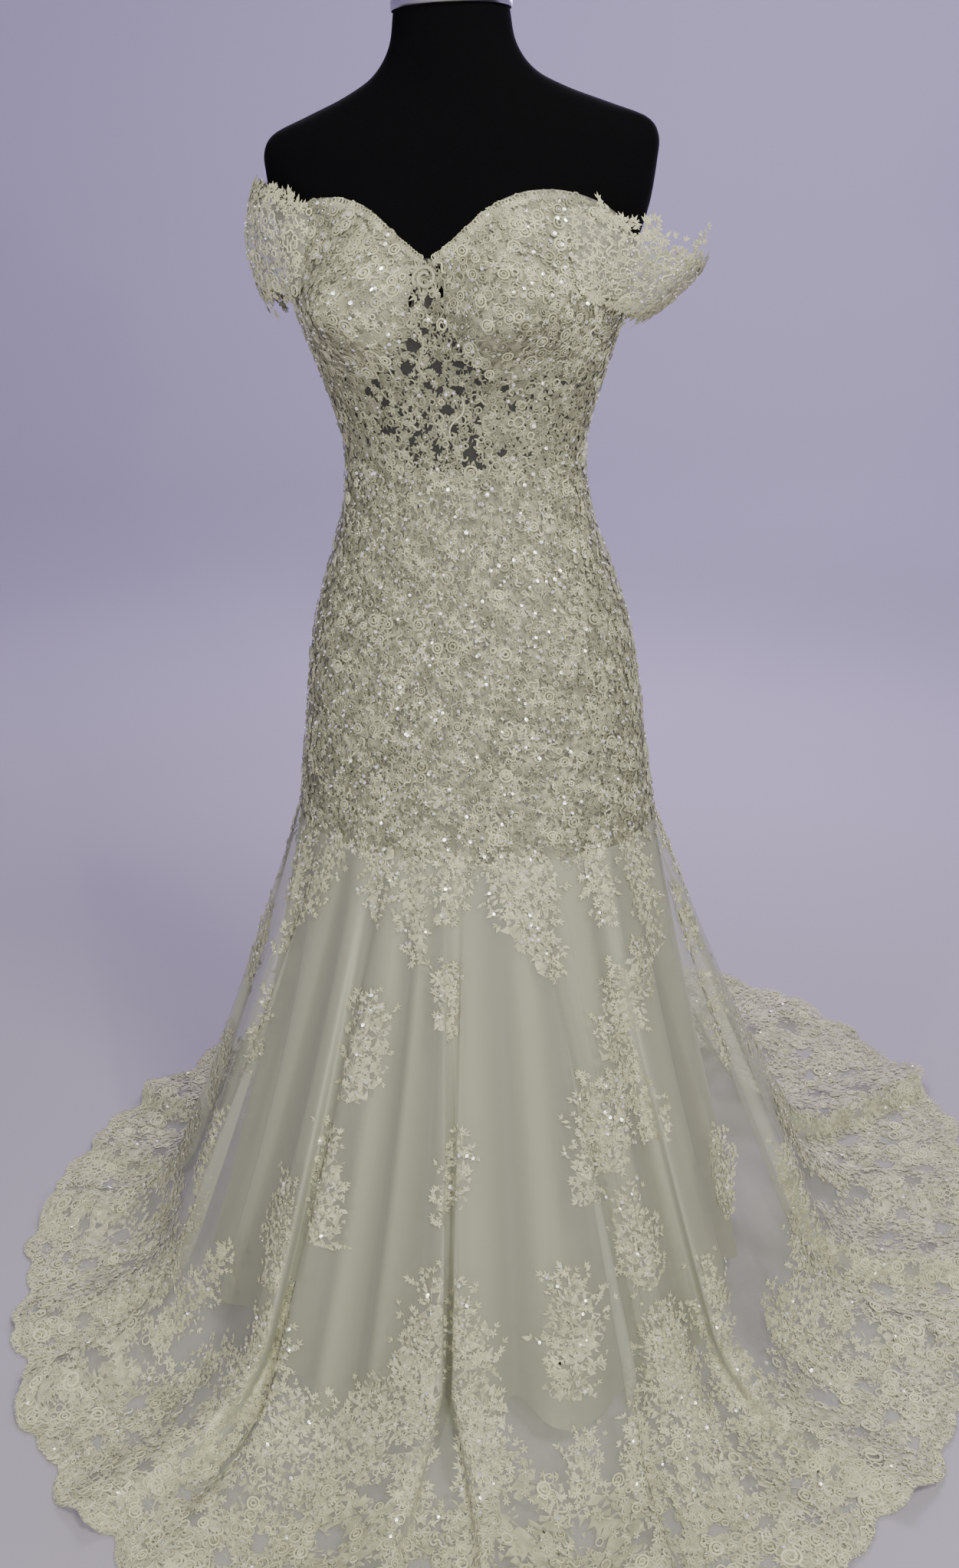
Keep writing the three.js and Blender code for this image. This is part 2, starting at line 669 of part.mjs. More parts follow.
// An off-shoulder band from the cup's top round the shoulder to the back, with a wavy lace edge.
function sleeve({ name, side, top, low, topReach, lowReach, belly }) {
  const count = 14;
  const steps = evenly(0, 1, count);
  const height = (ends, s) =>
    (1 - s) * (1 - 2 * s) * ends[0] + 4 * s * (1 - s) * ends[1] + s * (2 * s - 1) * ends[2];
  const point = (s, h, i) => {
    const angle = SLEEVE_ENDS.front + (SLEEVE_ENDS.back - SLEEVE_ENDS.front) * s;
    const wave = SLEEVE_EDGE_WAVE * (i % 2);
    const upper = height(top, s) + wave * (1 - h);
    const z = upper + (height(low, s) - wave - upper) * h;
    const seated = bodyRadius(angle, z) + SLEEVE_SEAT;
    const shoulder = Math.max(bodyRadius(angle, SHOULDER_Z), bodyRadius(angle, z)) + SLEEVE_CLEAR;
    const reach = topReach + (lowReach - topReach) * h + belly * 4 * h * (1 - h);
    const off = Math.max(shoulder + reach - seated, 0) * Math.sin(Math.PI * s) ** 0.6;
    return polar(radians(side * angle), seated + off, z);
  };
  const inner = grid(steps, evenly(0, 1, 3), point);
  if (side < 0) inner.reverse();
  const outer = lifted(inner, gridNormals(inner), () => LACE_WALL);
  return named(`sleeve_${name}`, wall(inner, outer), LACE);
}

const gridAngle = (column, count) => (360 * column) / count - 180;

// A gore of the net overskirt, from the thigh seam to the lace border.
function netGore({ from, to }) {
  const columns = evenly(from, to, to - from).map((c) => gridAngle(c, NET_COLUMNS));
  columns[0] += 0.06;
  columns[columns.length - 1] -= 0.06;
  const rows = [0, 0.18, 0.36, 0.54, 0.72, 1];
  const inner = grid(columns, rows, (a, r) => skirtPoint(a, r * borderPlace(a)));
  const outer = lifted(inner, gridNormals(inner), () => NET_WALL);
  return { inner, outer };
}

// The lace border that follows a gore down to its scalloped hem, one eyelet to a scallop.
function laceBorder(gore, { from, to }) {
  const split = (to - from) * BORDER_SPLIT;
  const columns = evenly(from, to, split).map((c) => gridAngle(c, NET_COLUMNS));
  columns[0] += 0.06;
  columns[columns.length - 1] -= 0.06;
  const hemRow = gore.inner[0].length - 1;
  const seamPoint = (i) => {
    const k = Math.min(Math.floor(i / BORDER_SPLIT), to - from - 1);
    const share = i / BORDER_SPLIT - k;
    return gore.inner[k][hemRow].clone().lerp(gore.inner[k + 1][hemRow], share);
  };
  const scallop = (i) => (i % COLUMNS_PER_SCALLOP === 0 ? -SCALLOP_DEPTH : 0);
  const inner = columns.map((a, i) => {
    const seam = seamPoint(i);
    const below = [2.55, 3].map((place, j) => skirtPoint(a, place, j ? scallop(i) : 0));
    const away = below[0].clone().sub(seam).normalize();
    return [seam.addScaledVector(away, 5 * SEAM_GAP), ...below];
  });
  const outer = lifted(inner, gridNormals(inner), () => LACE_WALL + LACE_RELIEF / 2);
  const eyelet = (i, j) => (j === 1 && i % COLUMNS_PER_SCALLOP === 1 ? EYELET_SHARE : 0);
  return wall(inner, outer, eyelet);
}

// A lace motif on a gore, widest where its outline says, on the two columns beside its middle.
function laceMotif(gore, column, start, length, outline) {
  const normals = gridNormals(gore.outer);
  const stations = evenly(start / 2, (start + length) / 2, length);
  const sides = [-1, 0, 1];
  const at = (lift) =>
    grid(sides, stations, (side, v, i, j) =>
      onGrid(gore.outer, normals, column + side * outline(j / length), v, lift),
    );
  return wall(at(APPLIQUE_LIFT), at(APPLIQUE_LIFT + LACE_WALL));
}

// Motif outlines from top to tip, as a share of a column: a hanging point, and a leafy sprig.
const pointOutline = (width) => (s) => width * (0.1 + 0.9 * (1 - s)) * (1 - 0.25 * Math.sin(3 * Math.PI * s));
const sprigOutline = (s) =>
  SPRIG_WIDTH * (0.12 + 0.88 * Math.sin(Math.PI * s) ** 0.8 * (0.8 + 0.2 * Math.cos(6 * Math.PI * s)));

function buildGown() {
  const gown = new THREE.Group();
  gown.add(cup("cup_left", 1), cup("cup_right", -1));
  gown.add(midriffNet(), midriffLace());
  gown.add(backBodice("back_left", 1), backBodice("back_right", -1), backZip());
  gown.add(...SLEEVES.map(sleeve));

  const panels = [
    { name: "back_right", from: 0, to: 12, trim: [0.35, 0] },
    { name: "front", from: 12, to: 36, trim: [0, 0] },
    { name: "back_left", from: 36, to: 48, trim: [0, 0.35] },
  ];
  for (const { name, from, to, trim } of panels) {
    const panel = liningPanel(from, to);
    gown.add(named(`lining_${name}`, wall(panel.inner, panel.outer), LINING));
    gown.add(named(`hip_lace_${name}`, hipLace(panel, ...trim), LACE));
  }

  for (const gore of GORES) {
    const panel = netGore(gore);
    gown.add(named(`net_${gore.name}`, wall(panel.inner, panel.outer), NET));
    gown.add(named(`border_${gore.name}`, laceBorder(panel, gore), LACE));
    const here = ({ column }) => column > gore.from && column < gore.to;
    LACE_POINTS.filter(here).forEach(({ column, length, width }) => {
      const shape = laceMotif(panel, column - gore.from, 0, length, pointOutline(width));
      gown.add(named(`lace_point_${column}`, shape, LACE));
    });
    SPRIGS.filter(here).forEach(({ column, start, length }) => {
      const shape = laceMotif(panel, column - gore.from, start, length, sprigOutline);
      gown.add(named(`lace_sprig_${column}_${start}`, shape, LACE));
    });
  }
  return gown;
}

function buildForm() {
  const form = new THREE.Group();
  form.add(formTorso(), neckCap(), stand());
  return form;
}

const gownOnForm = new THREE.Group();
gownOnForm.add(buildForm(), buildGown());
export default gownOnForm;
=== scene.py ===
"""A trumpet wedding gown of corded, beaded lace on a limbless dress form, for Blender 4.5."""
import math

import bpy
import numpy as np
from mathutils import Matrix, Vector


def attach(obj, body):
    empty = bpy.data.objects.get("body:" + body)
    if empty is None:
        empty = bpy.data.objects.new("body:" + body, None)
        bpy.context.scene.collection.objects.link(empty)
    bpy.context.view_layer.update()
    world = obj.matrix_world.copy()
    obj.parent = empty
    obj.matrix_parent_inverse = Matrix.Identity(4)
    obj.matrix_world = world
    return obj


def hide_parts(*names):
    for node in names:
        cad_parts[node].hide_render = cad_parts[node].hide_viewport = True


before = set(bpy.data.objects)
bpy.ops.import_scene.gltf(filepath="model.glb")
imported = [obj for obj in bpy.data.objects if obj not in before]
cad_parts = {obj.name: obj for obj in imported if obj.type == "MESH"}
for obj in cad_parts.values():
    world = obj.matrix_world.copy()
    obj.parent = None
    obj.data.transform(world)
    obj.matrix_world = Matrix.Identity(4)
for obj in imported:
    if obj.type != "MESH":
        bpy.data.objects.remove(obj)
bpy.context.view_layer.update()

bl_info = {
    "name": "Lace wedding gown",
    "version": (1, 0, 0),
    "blender": (4, 5, 0),
    "location": "View3D > Sidebar > Gown",
    "description": "Dresses the gown and its form with cloth, lace, beads and a stage",
    "category": "Object",
}

BODY_NAME = "root"
MM = 0.001

# Heights in millimetres
WAIST_Z = 1035.0
THIGH_SEAM_Z = 630.0
LINING_HEM_Z = 32.0
FLARE_END_Z = 90.0
NECK_TOP_Z = 1482.0
FORM_BOTTOM_Z = 700.0
FORM_TAPER_Z = 800.0
FORM_TAPER = 26.0

# The cloth's layers, outwards from the body in millimetres
FORM_GAP = 1.4
LINING_LIFT = 0.7
BODICE_LIFT = 0.9
SHEER_LIFT = 0.6
LACE_BASE = 2.1

# The overskirt's flare and where it lies down on the floor
FLARE_HOLLOW = 0.15
LANDING_RUN = 110.0
LINING_FOLDS = 24
LINING_FOLD_DEPTH = 40.0
LINING_FOLD_VARY = 9.0
HEM_WAVES = 30
HEM_WAVE_DEPTH = 8.0
FLUTE_RISE = 0.75
FLUTE_NARROWING = 0.5
SCALLOP_DEPTH = 9.0
SCALLOP_TURN = 5.625
SCALLOP_START = -135.0

# The way down the gown in millimetres, from a datum above the neckline: where the thigh seam, the
# flare's end, the landing and the hem are
DATUM_Z = 1320.0
SEAM_V = DATUM_Z - THIGH_SEAM_Z
FLARE_V = 1265.0
LANDING_V = 1435.0
HEM_V = 1600.0

# z, half width, front depth, back depth, roundness of the body's oval
BODY = np.array([
    (630, 216, 168, 186, 2.0),
    (690, 207, 150, 176, 2.05),
    (750, 199, 136, 168, 2.1),
    (800, 192, 126, 160, 2.15),
    (850, 184, 117, 150, 2.2),
    (890, 173, 110, 138, 2.2),
    (940, 155, 103, 122, 2.2),
    (990, 138, 97, 108, 2.2),
    (1035, 132, 94, 102, 2.2),
    (1070, 134, 94, 101, 2.2),
    (1110, 145, 97, 104, 2.2),
    (1150, 158, 102, 108, 2.25),
    (1200, 175, 106, 112, 2.3),
    (1235, 180, 104, 114, 2.3),
    (1265, 190, 98, 113, 2.3),
    (1300, 202, 90, 109, 2.3),
    (1340, 209, 80, 101, 2.3),
    (1362, 210, 73, 92, 2.3),
    (1378, 199, 66, 82, 2.2),
    (1392, 163, 60, 72, 2.1),
    (1408, 120, 56, 64, 2.0),
    (1425, 87, 54, 58, 2.0),
    (1450, 67, 53, 55, 2.0),
    (1482, 60, 52, 53, 2.0),
], float)
CUP_Z, CUP_ANGLE, CUP_SPREAD, CUP_ABOVE, CUP_BELOW, CUP_HEIGHT = 1203, 36, 21, 62, 46, 46

# angle from the centre front, lower edge and upper edge of a cup
CUP_EDGE = np.array([
    (5, 1229, 1259),
    (12, 1190, 1268),
    (20, 1163, 1280),
    (28, 1148, 1292),
    (36, 1141, 1302),
    (44, 1140, 1309),
    (52, 1143, 1313),
    (62, 1148, 1311),
    (72, 1152, 1296),
    (84.8, 1156, 1262),
], float)
SIDE_SEAM = 85.0
FRONT_END = 84.8
BACK_START = 85.2
BACK_END = 179.9
CUP_INNER = 9.0
NECK_POINT_TURN = 5.0
NECK_POINT_Z = 1254.0

# The centre-back zip: its ends, half width in degrees, teeth, and how far the lace stays clear of it
ZIP_TOP_Z = 1199.0
ZIP_END_Z = 850.0
ZIP_HALF_TURN = 1.1
ZIP_LIFT = 2.4
ZIP_WALL = 0.0008
TOOTH_PITCH = 5.4
TOOTH_HEIGHT = 0.5
BODICE_ZIP_CLEAR = 1.6
HIP_ZIP_CLEAR = 1.7

# angle and upper edge of the back bodice
BACK_EDGE = np.array([(85.2, 1261), (110, 1236), (140, 1210), (179.8, 1202)], float)

# angle, radius where the flare meets the floor, radius of the hem, radius of the lining's hem
FLOOR_LINE = np.array([
    (0, 436, 662, 418),
    (30, 434, 668, 412),
    (60, 438, 656, 388),
    (90, 446, 672, 352),
    (120, 462, 736, 356),
    (150, 482, 784, 384),
    (180, 490, 770, 398),
    (210, 480, 712, 384),
    (240, 460, 642, 356),
    (270, 444, 636, 350),
    (300, 438, 628, 386),
    (330, 434, 648, 410),
], float)
FLOOR_RING = np.concatenate([FLOOR_LINE + (shift, 0, 0, 0) for shift in (-360, 0, 360)])

# angle, depth, half width in degrees, swing by the hem, share of the depth left at the hem, and how far
# the crest falls sideways for its height
FLUTES = [
    (-173, 24, 8.4, 2, 0.7, 1.3),
    (-156, 19, 7.6, -3, 0.45, -0.6),
    (-139, 27, 8.6, -2, 0.75, 1.5),
    (-122, 20, 7.8, 3, 0.5, -1.6),
    (-106, 25, 8.2, 1, 0.8, 0.7),
    (-90, 18, 7.4, -2, 0.4, 1.9),
    (-74, 26, 8.0, -3, 0.7, -1.7),
    (-59, 17, 6.8, 2, 0.4, 1.2),
    (-44, 24, 7.6, -1, 0.6, -1.9),
    (-29, 28, 7.2, 2, 0.5, 1.6),
    (-14, 19, 6.6, -2, 0.3, -1.1),
    (1, 27, 7.6, 1, 0.5, 1.8),
    (17, 22, 7.2, 3, 0.35, -1.9),
    (32, 28, 7.4, -1, 0.6, 1.7),
    (47, 18, 6.8, 2, 0.3, -0.8),
    (63, 26, 8.0, -2, 0.6, -1.8),
    (79, 20, 7.4, 3, 0.5, 1.4),
    (95, 25, 8.0, 2, 0.8, -1.2),
    (112, 19, 7.8, -3, 0.5, 1.7),
    (129, 28, 8.6, 2, 0.85, -1.5),
    (147, 22, 8.2, 3, 0.75, 0.9),
    (165, 26, 8.6, -2, 0.7, -1.6),
]

# Gores of the overskirt: name, first and last angle
GORES = [("right", -135, -45), ("front", -45, 45), ("left", 45, 135), ("train", 135, 225)]

# Sleeve bands: name, side, heights of the top and the low edge at the front end, the outermost point
# and the back end, reach off the shoulder of the top and the low edge, and the belly between them
SLEEVES = [
    ("left", 1, (1300, 1240, 1248), (1222, 1196, 1188), 42, -6, 4),
    ("right", -1, (1302, 1318, 1262), (1220, 1224, 1190), 11, 13, 9),
]
SLEEVE_FRONT, SLEEVE_BACK = 60, 122
SHOULDER_Z = 1325
SLEEVE_SEAT = 3.4
SLEEVE_CLEAR = 6.6

# Lace points below the hip lace: angle, length, width and tilt
LACE_POINTS = [
    (-40, 190, 62, -14),
    (-22, 90, 50, 6),
    (-7, 130, 58, 8),
    (9, 80, 46, -6),
    (24, 120, 56, 10),
    (37, 150, 62, -6),
    (56, 95, 50, 8),
    (74, 150, 58, -8),
    (95, 100, 52, 6),
    (112, 160, 60, -8),
    (133, 110, 54, 8),
    (152, 170, 62, -6),
    (172, 110, 54, 6),
    (-60, 110, 52, 8),
    (-79, 160, 60, -8),
    (-100, 100, 52, 6),
    (-119, 150, 58, -8),
    (-139, 110, 54, 8),
    (-160, 170, 62, -6),
]

# Lace sprigs on the net: angle, place down the overskirt, length, width and tilt
SPRIGS = [
    (-13.2, 0.38, 130, 66, 6),
    (8.6, 0.27, 85, 46, -8),
    (48.8, 0.28, 150, 66, 34),
    (84.5, 0.24, 100, 52, 12),
    (-46.2, 0.46, 120, 56, -8),
    (-12.7, 0.66, 140, 66, -10),
    (2.9, 0.62, 80, 44, 14),
    (12.2, 0.58, 90, 46, 6),
    (30.5, 0.54, 150, 64, 22),
    (43.4, 0.52, 120, 54, 16),
    (57.6, 0.50, 120, 56, -10),
    (80.1, 0.46, 120, 58, 10),
    (47.8, 0.76, 120, 66, -8),
    (-28.6, 0.78, 140, 62, -12),
    (-19.3, 1.02, 150, 74, -6),
    (1.0, 0.92, 150, 76, 4),
    (13.6, 0.86, 90, 46, 8),
    (26.9, 0.90, 150, 76, 10),
    (57.1, 0.94, 120, 62, 16),
    (45.9, 1.05, 120, 72, 12),
    (-54.8, 0.79, 120, 58, -12),
    (69.0, 0.74, 110, 54, 10),
    (90.0, 0.90, 120, 64, 10),
    (-71, 0.34, 110, 56, 8),
    (-70, 0.68, 130, 60, -8),
    (-74, 1.00, 140, 70, 6),
    (-92, 0.52, 130, 62, 12),
    (-95, 0.86, 130, 62, -10),
    (-112, 0.30, 110, 54, -6),
    (-114, 0.68, 140, 64, 8),
    (-116, 1.00, 140, 70, -6),
    (-133, 0.48, 130, 60, 10),
    (-135, 0.84, 130, 62, -8),
    (-153, 0.36, 120, 56, 6),
    (-154, 0.70, 140, 66, -8),
    (-156, 1.02, 140, 70, 6),
    (-174, 0.54, 130, 62, -8),
    (-176, 0.88, 140, 64, 10),
    (105, 0.62, 130, 60, -8),
    (108, 0.98, 140, 70, 8),
    (122, 0.38, 120, 56, 8),
    (126, 0.78, 140, 64, -8),
    (141, 0.56, 130, 62, 8),
    (144, 0.98, 140, 68, -6),
    (160, 0.36, 110, 54, -6),
    (163, 0.72, 140, 64, 8),
    (166, 1.04, 140, 70, -6),
]


# Surfaces


SLOPES = {}


def read(table, column, at):
    """One column of a table at positions in its first column, on a smooth curve through its rows."""
    x, y = table[:, 0], table[:, column]
    slope = SLOPES.get((id(table), column))
    if slope is None:
        slope = np.gradient(y, x)
        slope[1:-1] = (y[2:] - y[:-2]) / (x[2:] - x[:-2])
        SLOPES[id(table), column] = slope
    at = np.clip(at, x[0], x[-1])
    i = np.clip(np.searchsorted(x, at) - 1, 0, len(x) - 2)
    span = x[i + 1] - x[i]
    s = (at - x[i]) / span
    ease = s * s * (3 - 2 * s)
    bend = s * (1 - s) * span * (slope[i] * (1 - s) - slope[i + 1] * s)
    return y[i] + (y[i + 1] - y[i]) * ease + bend


def arrays(*values):
    """The values as arrays of one shape."""
    return np.broadcast_arrays(*(np.asarray(value, float) for value in values))


def turn_between(a, b):
    """The turn from b to a in degrees, the short way round."""
    return (a - b + 180.0) % 360.0 - 180.0


def smooth(x, start, end):
    """An eased rise from 0 at start to 1 at end."""
    s = np.clip((x - start) / (end - start), 0, 1)
    return s * s * (3 - 2 * s)


def polar(angle, radius, z):
    """Points in metres at an angle from the centre front and a radius and height in millimetres."""
    a = np.radians(angle)
    return np.stack([radius * np.sin(a), -radius * np.cos(a), z + 0 * a], -1) * MM


def body_radius(angle, z):
    """The body's oval at a height, with the bust's two domes."""
    angle, z = arrays(angle, z)
    across = np.abs(np.sin(np.radians(angle)))
    along = np.cos(np.radians(angle))
    half = read(BODY, 1, z)
    depth = np.where(along >= 0, read(BODY, 2, z), read(BODY, 3, z))
    power = read(BODY, 4, z)
    oval = (across / half) ** power + (np.abs(along) / depth) ** power
    aside = (np.abs(turn_between(angle, 0)) - CUP_ANGLE) / CUP_SPREAD
    rise = (z - CUP_Z) / np.where(z > CUP_Z, CUP_ABOVE, CUP_BELOW)
    return oval ** (-1 / power) + CUP_HEIGHT * np.exp(-aside**2 - rise**2)


def hollow(s):
    """How far out the skirt has come at a share of its drop, a little hollow on the way."""
    return s + FLARE_HOLLOW * s * (s - 1)


def lining_fold(angle, z):
    """How far the lining is drawn in at each place, from a fold's crest (0) to its valley (1)."""
    a = np.radians(angle)
    drop = np.clip((THIGH_SEAM_Z - z) / THIGH_SEAM_Z, 0, 1)
    swing = np.radians(3.2) * np.sin(5 * a + 0.7) + np.radians(1.9) * np.sin(11 * a + 2 * drop)
    return (0.5 - 0.5 * np.cos(LINING_FOLDS * (a + swing))) ** 1.3


def lining_point(angle, z):
    """The lining: fitted to the thigh, then falling in broad uneven folds to its wavy hem."""
    angle, z = arrays(angle, z)
    a = np.radians(angle)
    drop = np.clip((THIGH_SEAM_Z - z) / THIGH_SEAM_Z, 0, 1)
    top = body_radius(angle, np.maximum(z, THIGH_SEAM_Z))
    hem = read(FLOOR_RING, 3, angle)
    crease = np.sin(53 * a + 2 * np.sin(7 * a)) * np.sin(19 * a + 3 * drop)
    depth = (LINING_FOLD_DEPTH + LINING_FOLD_VARY * np.sin(5 * a + 1)) * drop**0.75
    depth = depth * (0.8 + 0.3 * np.sin(7 * a + 2) ** 2)
    radius = top + (hem - top) * hollow(drop) - depth * lining_fold(angle, z) + 1.5 * drop * crease
    return polar(angle, radius + LINING_LIFT, z)


def flutes(angle, place):
    """Height of the overskirt's folds and how far their crests fall sideways, in millimetres."""
    height, aside = 0 * angle, 0 * angle
    falling = np.clip(place - 1, 0, 2) / 2
    rise = np.clip(place, 0, 1) ** FLUTE_RISE
    for at, depth, width, lean, tail, fall in FLUTES:
        across = turn_between(angle, at + lean * place / 3) / (width * (1 - FLUTE_NARROWING * falling))
        bump = depth * rise * (1 + (tail - 1) * falling) * (1 - np.clip(np.abs(across), 0, 1) ** 2) ** 2
        height = height + bump
        aside = aside + fall * bump
    a = np.radians(angle)
    fine = 1 + np.sin(41 * a + 2.2 * np.sin(3 * a) + place) * np.cos(17 * a - 1.3)
    return height + 2.2 * rise * fine * (1 - 0.7 * falling), aside * (1 - 0.55 * falling)


def skirt(angle, place, lift):
    """The overskirt from the thigh seam (0) past the flare's end (1) and landing (2) to the hem (3)."""
    angle, place, lift = arrays(angle, place, lift)
    a = np.radians(angle)
    seam = body_radius(angle, THIGH_SEAM_Z) + LACE_BASE
    landing = read(FLOOR_RING, 1, angle)
    scallop = np.abs(np.cos(np.pi * (angle - SCALLOP_START) / SCALLOP_TURN)) ** 4
    hem = read(FLOOR_RING, 2, angle) + HEM_WAVE_DEPTH * np.sin(HEM_WAVES * a + 2 * np.sin(3 * a))
    hem = hem - SCALLOP_DEPTH * scallop * smooth(place, 2.5, 3)
    start = THIGH_SEAM_Z - 1.5
    foot = seam + (landing - seam) * hollow((start - FLARE_END_Z) / start)

    def profile(at):
        drop = np.clip(at, 0, 1) * (start - FLARE_END_Z)
        s = np.clip(at - 1, 0, 1)
        floor = landing + LANDING_RUN + (hem - landing - LANDING_RUN) * (at - 2)
        near = (1 - s) ** 2
        curve = near * foot + 2 * s * (1 - s) * landing + s * s * (landing + LANDING_RUN)
        flare = seam + (landing - seam) * hollow(drop / start)
        radius = np.where(at <= 1, flare, np.where(at <= 2, curve, floor))
        return radius, np.where(at <= 1, start - drop, np.where(at <= 2, near * FLARE_END_Z, 0))

    radius, z = profile(place)
    step = 0.04
    r0, z0 = profile(np.maximum(place - step, 0))
    r1, z1 = profile(np.minimum(place + step, 3.2))
    out_r, out_z = z0 - z1, r1 - r0
    size = np.hypot(out_r, out_z)
    height, aside = flutes(angle, place)
    height = (height + lift) / size
    turned = angle + np.degrees(aside / np.maximum(radius, 100))
    return polar(turned, radius + out_r * height, z + out_z * height)


def gown(angle, v, lift):
    """The gown's outside, v millimetres down from the datum, over the bodice, hips and overskirt."""
    angle, v, lift = arrays(angle, v, lift)
    z = np.maximum(DATUM_Z - v, THIGH_SEAM_Z)
    fitted = polar(angle, body_radius(angle, z) + LACE_BASE + lift, z)
    if v.max() <= SEAM_V:
        return fitted
    place = np.interp(v, (SEAM_V, FLARE_V, LANDING_V, HEM_V), (0, 1, 2, 3))
    return np.where((v <= SEAM_V)[..., None], fitted, skirt(angle, place, lift))


def place_v(place):
    """The way down the gown at a place on the overskirt."""
    return float(np.interp(place, (0, 1, 2, 3), (SEAM_V, FLARE_V, LANDING_V, HEM_V)))


def sleeve_surface(side, top, low, top_reach, low_reach, belly):
    """A band from the cup (0) round the shoulder to the back (1), from top (0) to low edge (1)."""

    def ends(values, s):
        first, middle, last = values
        return (1 - s) * (1 - 2 * s) * first + 4 * s * (1 - s) * middle + s * (2 * s - 1) * last

    def bare(s, h):
        t = np.clip(s, 0, 1)
        angle = SLEEVE_FRONT + (SLEEVE_BACK - SLEEVE_FRONT) * s
        z = ends(top, t) + (ends(low, t) - ends(top, t)) * h
        seated = body_radius(angle, z) + SLEEVE_SEAT
        shoulder = np.maximum(body_radius(angle, SHOULDER_Z), body_radius(angle, z)) + SLEEVE_CLEAR
        reach = top_reach + (low_reach - top_reach) * h + belly * 4 * h * (1 - h)
        bulge = np.maximum(np.sin(np.pi * t), 0) ** 0.6
        ripple = 2.2 * np.sin(11 * np.pi * s + 2 * h) * np.sin(np.pi * np.clip(h, 0, 1)) * bulge
        radius = seated + (np.maximum(shoulder + reach - seated, 0) + ripple) * bulge
        return polar(side * angle, radius, z)

    def point(s, h, lift):
        s, h, lift = arrays(s, h, lift)
        down, along = bare(s, h + 0.02) - bare(s, h - 0.02), bare(s + 0.01, h) - bare(s - 0.01, h)
        out = np.cross(down, along) * side
        out = out / np.linalg.norm(out, axis=-1, keepdims=True)
        return bare(s, h) + out * lift[..., None] * MM

    return point


# Lace motifs, in millimetres: points (across, up, out) and triangles


def leaf_motif(length, width, turn=0.0):
    half, y = width / 2, 0.45 * length
    points = np.array([(0, 0, 0.3), (-half, y, 0.2), (0, y, 1.0), (half, y, 0.2), (0, length, 0.4)], float)
    c, s = math.cos(turn), math.sin(turn)
    points[:, :2] = points[:, :2] @ np.array([(c, s), (-s, c)])
    return points, np.array([(0, 2, 1), (0, 3, 2), (1, 2, 4), (2, 3, 4)])


def floret_motif(radius, petals, crown=1.5):
    """Kite petals round a raised middle, each creased along its length."""
    points, faces = [(0, 0, crown)], []
    half = 0.74 * math.pi / petals
    for k in range(petals):
        a = 2 * math.pi * k / petals
        first = len(points)
        for reach, aside, out in ((0.64, -half, 0.2), (1.0, 0.0, 0.7), (0.64, half, 0.2)):
            points.append((radius * reach * math.cos(a + aside), radius * reach * math.sin(a + aside), out))
        faces += [(0, first, first + 1), (0, first + 1, first + 2)]
    return np.array(points, float), np.array(faces)


def cord_motif(path, width, height):
    """A raised cord along a path of points in the plane."""
    path = np.array(path, float)
    way = np.gradient(path, axis=0)
    side = np.stack([-way[:, 1], way[:, 0]], -1)
    side /= np.maximum(np.linalg.norm(side, axis=1, keepdims=True), 1e-9)
    taper = np.sin(np.linspace(0.5, math.pi - 0.5, len(path)))[:, None] ** 0.5
    left, right = path + side * width / 2 * taper, path - side * width / 2 * taper
    rim = np.full((len(path), 1), 0.2)
    crest = np.full((len(path), 1), height)
    points = np.concatenate([np.hstack([left, rim]), np.hstack([path, crest]), np.hstack([right, rim])])
    n = len(path)
    faces = []
    for k in range(n - 1):
        for low, high in ((k + n, k), (k + 2 * n, k + n)):
            faces += [(low, low + 1, high + 1), (low, high + 1, high)]
    return points, np.array(faces)


def ring_motif(radius, width, height=1.5, steps=9):
    points, faces = [], []
    for k in range(steps):
        a = 2 * math.pi * k / steps
        for reach, out in ((radius - width / 2, 0.2), (radius, height), (radius + width / 2, 0.2)):
            points.append((reach * math.cos(a), reach * math.sin(a), out))
    for k in range(steps):
        near, far = 3 * k, 3 * ((k + 1) % steps)
        for j in (0, 1):
            faces += [(near + j, near + j + 1, far + j + 1), (near + j, far + j + 1, far + j)]
    return np.array(points, float), np.array(faces)


def snail_motif(radius, width, turns=1.5, steps=20):
    t = np.linspace(0, 1, steps)
    a = 2 * math.pi * turns * t
    reach = radius * (0.28 + 0.72 * t**0.7)
    return cord_motif(np.stack([reach * np.cos(a), reach * np.sin(a)], -1), width, 1.9)


def squiggle_motif(length, swing, width, steps=7):
    t = np.linspace(-0.5, 0.5, steps)
    return cord_motif(np.stack([swing * np.sin(2 * math.pi * t), length * t], -1), width, 1.5)


def loop_motif(width, height, cord):
    a = np.linspace(0, math.pi, 8)
    return cord_motif(np.stack([width / 2 * np.cos(a), height * np.sin(a)], -1), cord, 1.6)


def joined(*motifs):
    """Motifs, or laid pieces of points and faces, as one."""
    starts = np.cumsum([0] + [len(points) for points, _ in motifs])
    faces = [ends + start for (_, ends), start in zip(motifs, starts)]
    return np.concatenate([points for points, _ in motifs]), np.concatenate(faces)


def bead_motif():
    points = [(1, 0, 0), (0, 1, 0), (-1, 0, 0), (0, -1, 0), (0, 0, 1), (0, 0, -1)]
    faces = [(k, (k + 1) % 4, 4) for k in range(4)] + [((k + 1) % 4, k, 5) for k in range(4)]
    return np.array(points, float), np.array(faces)


def sequin_motif():
    a = np.arange(6) * math.pi / 3
    rim = np.stack([np.cos(a), np.sin(a), 0 * a], -1)
    points = np.vstack([rim, [(0, 0, 0.12)]])
    return points, np.array([(6, k, (k + 1) % 6) for k in range(6)])


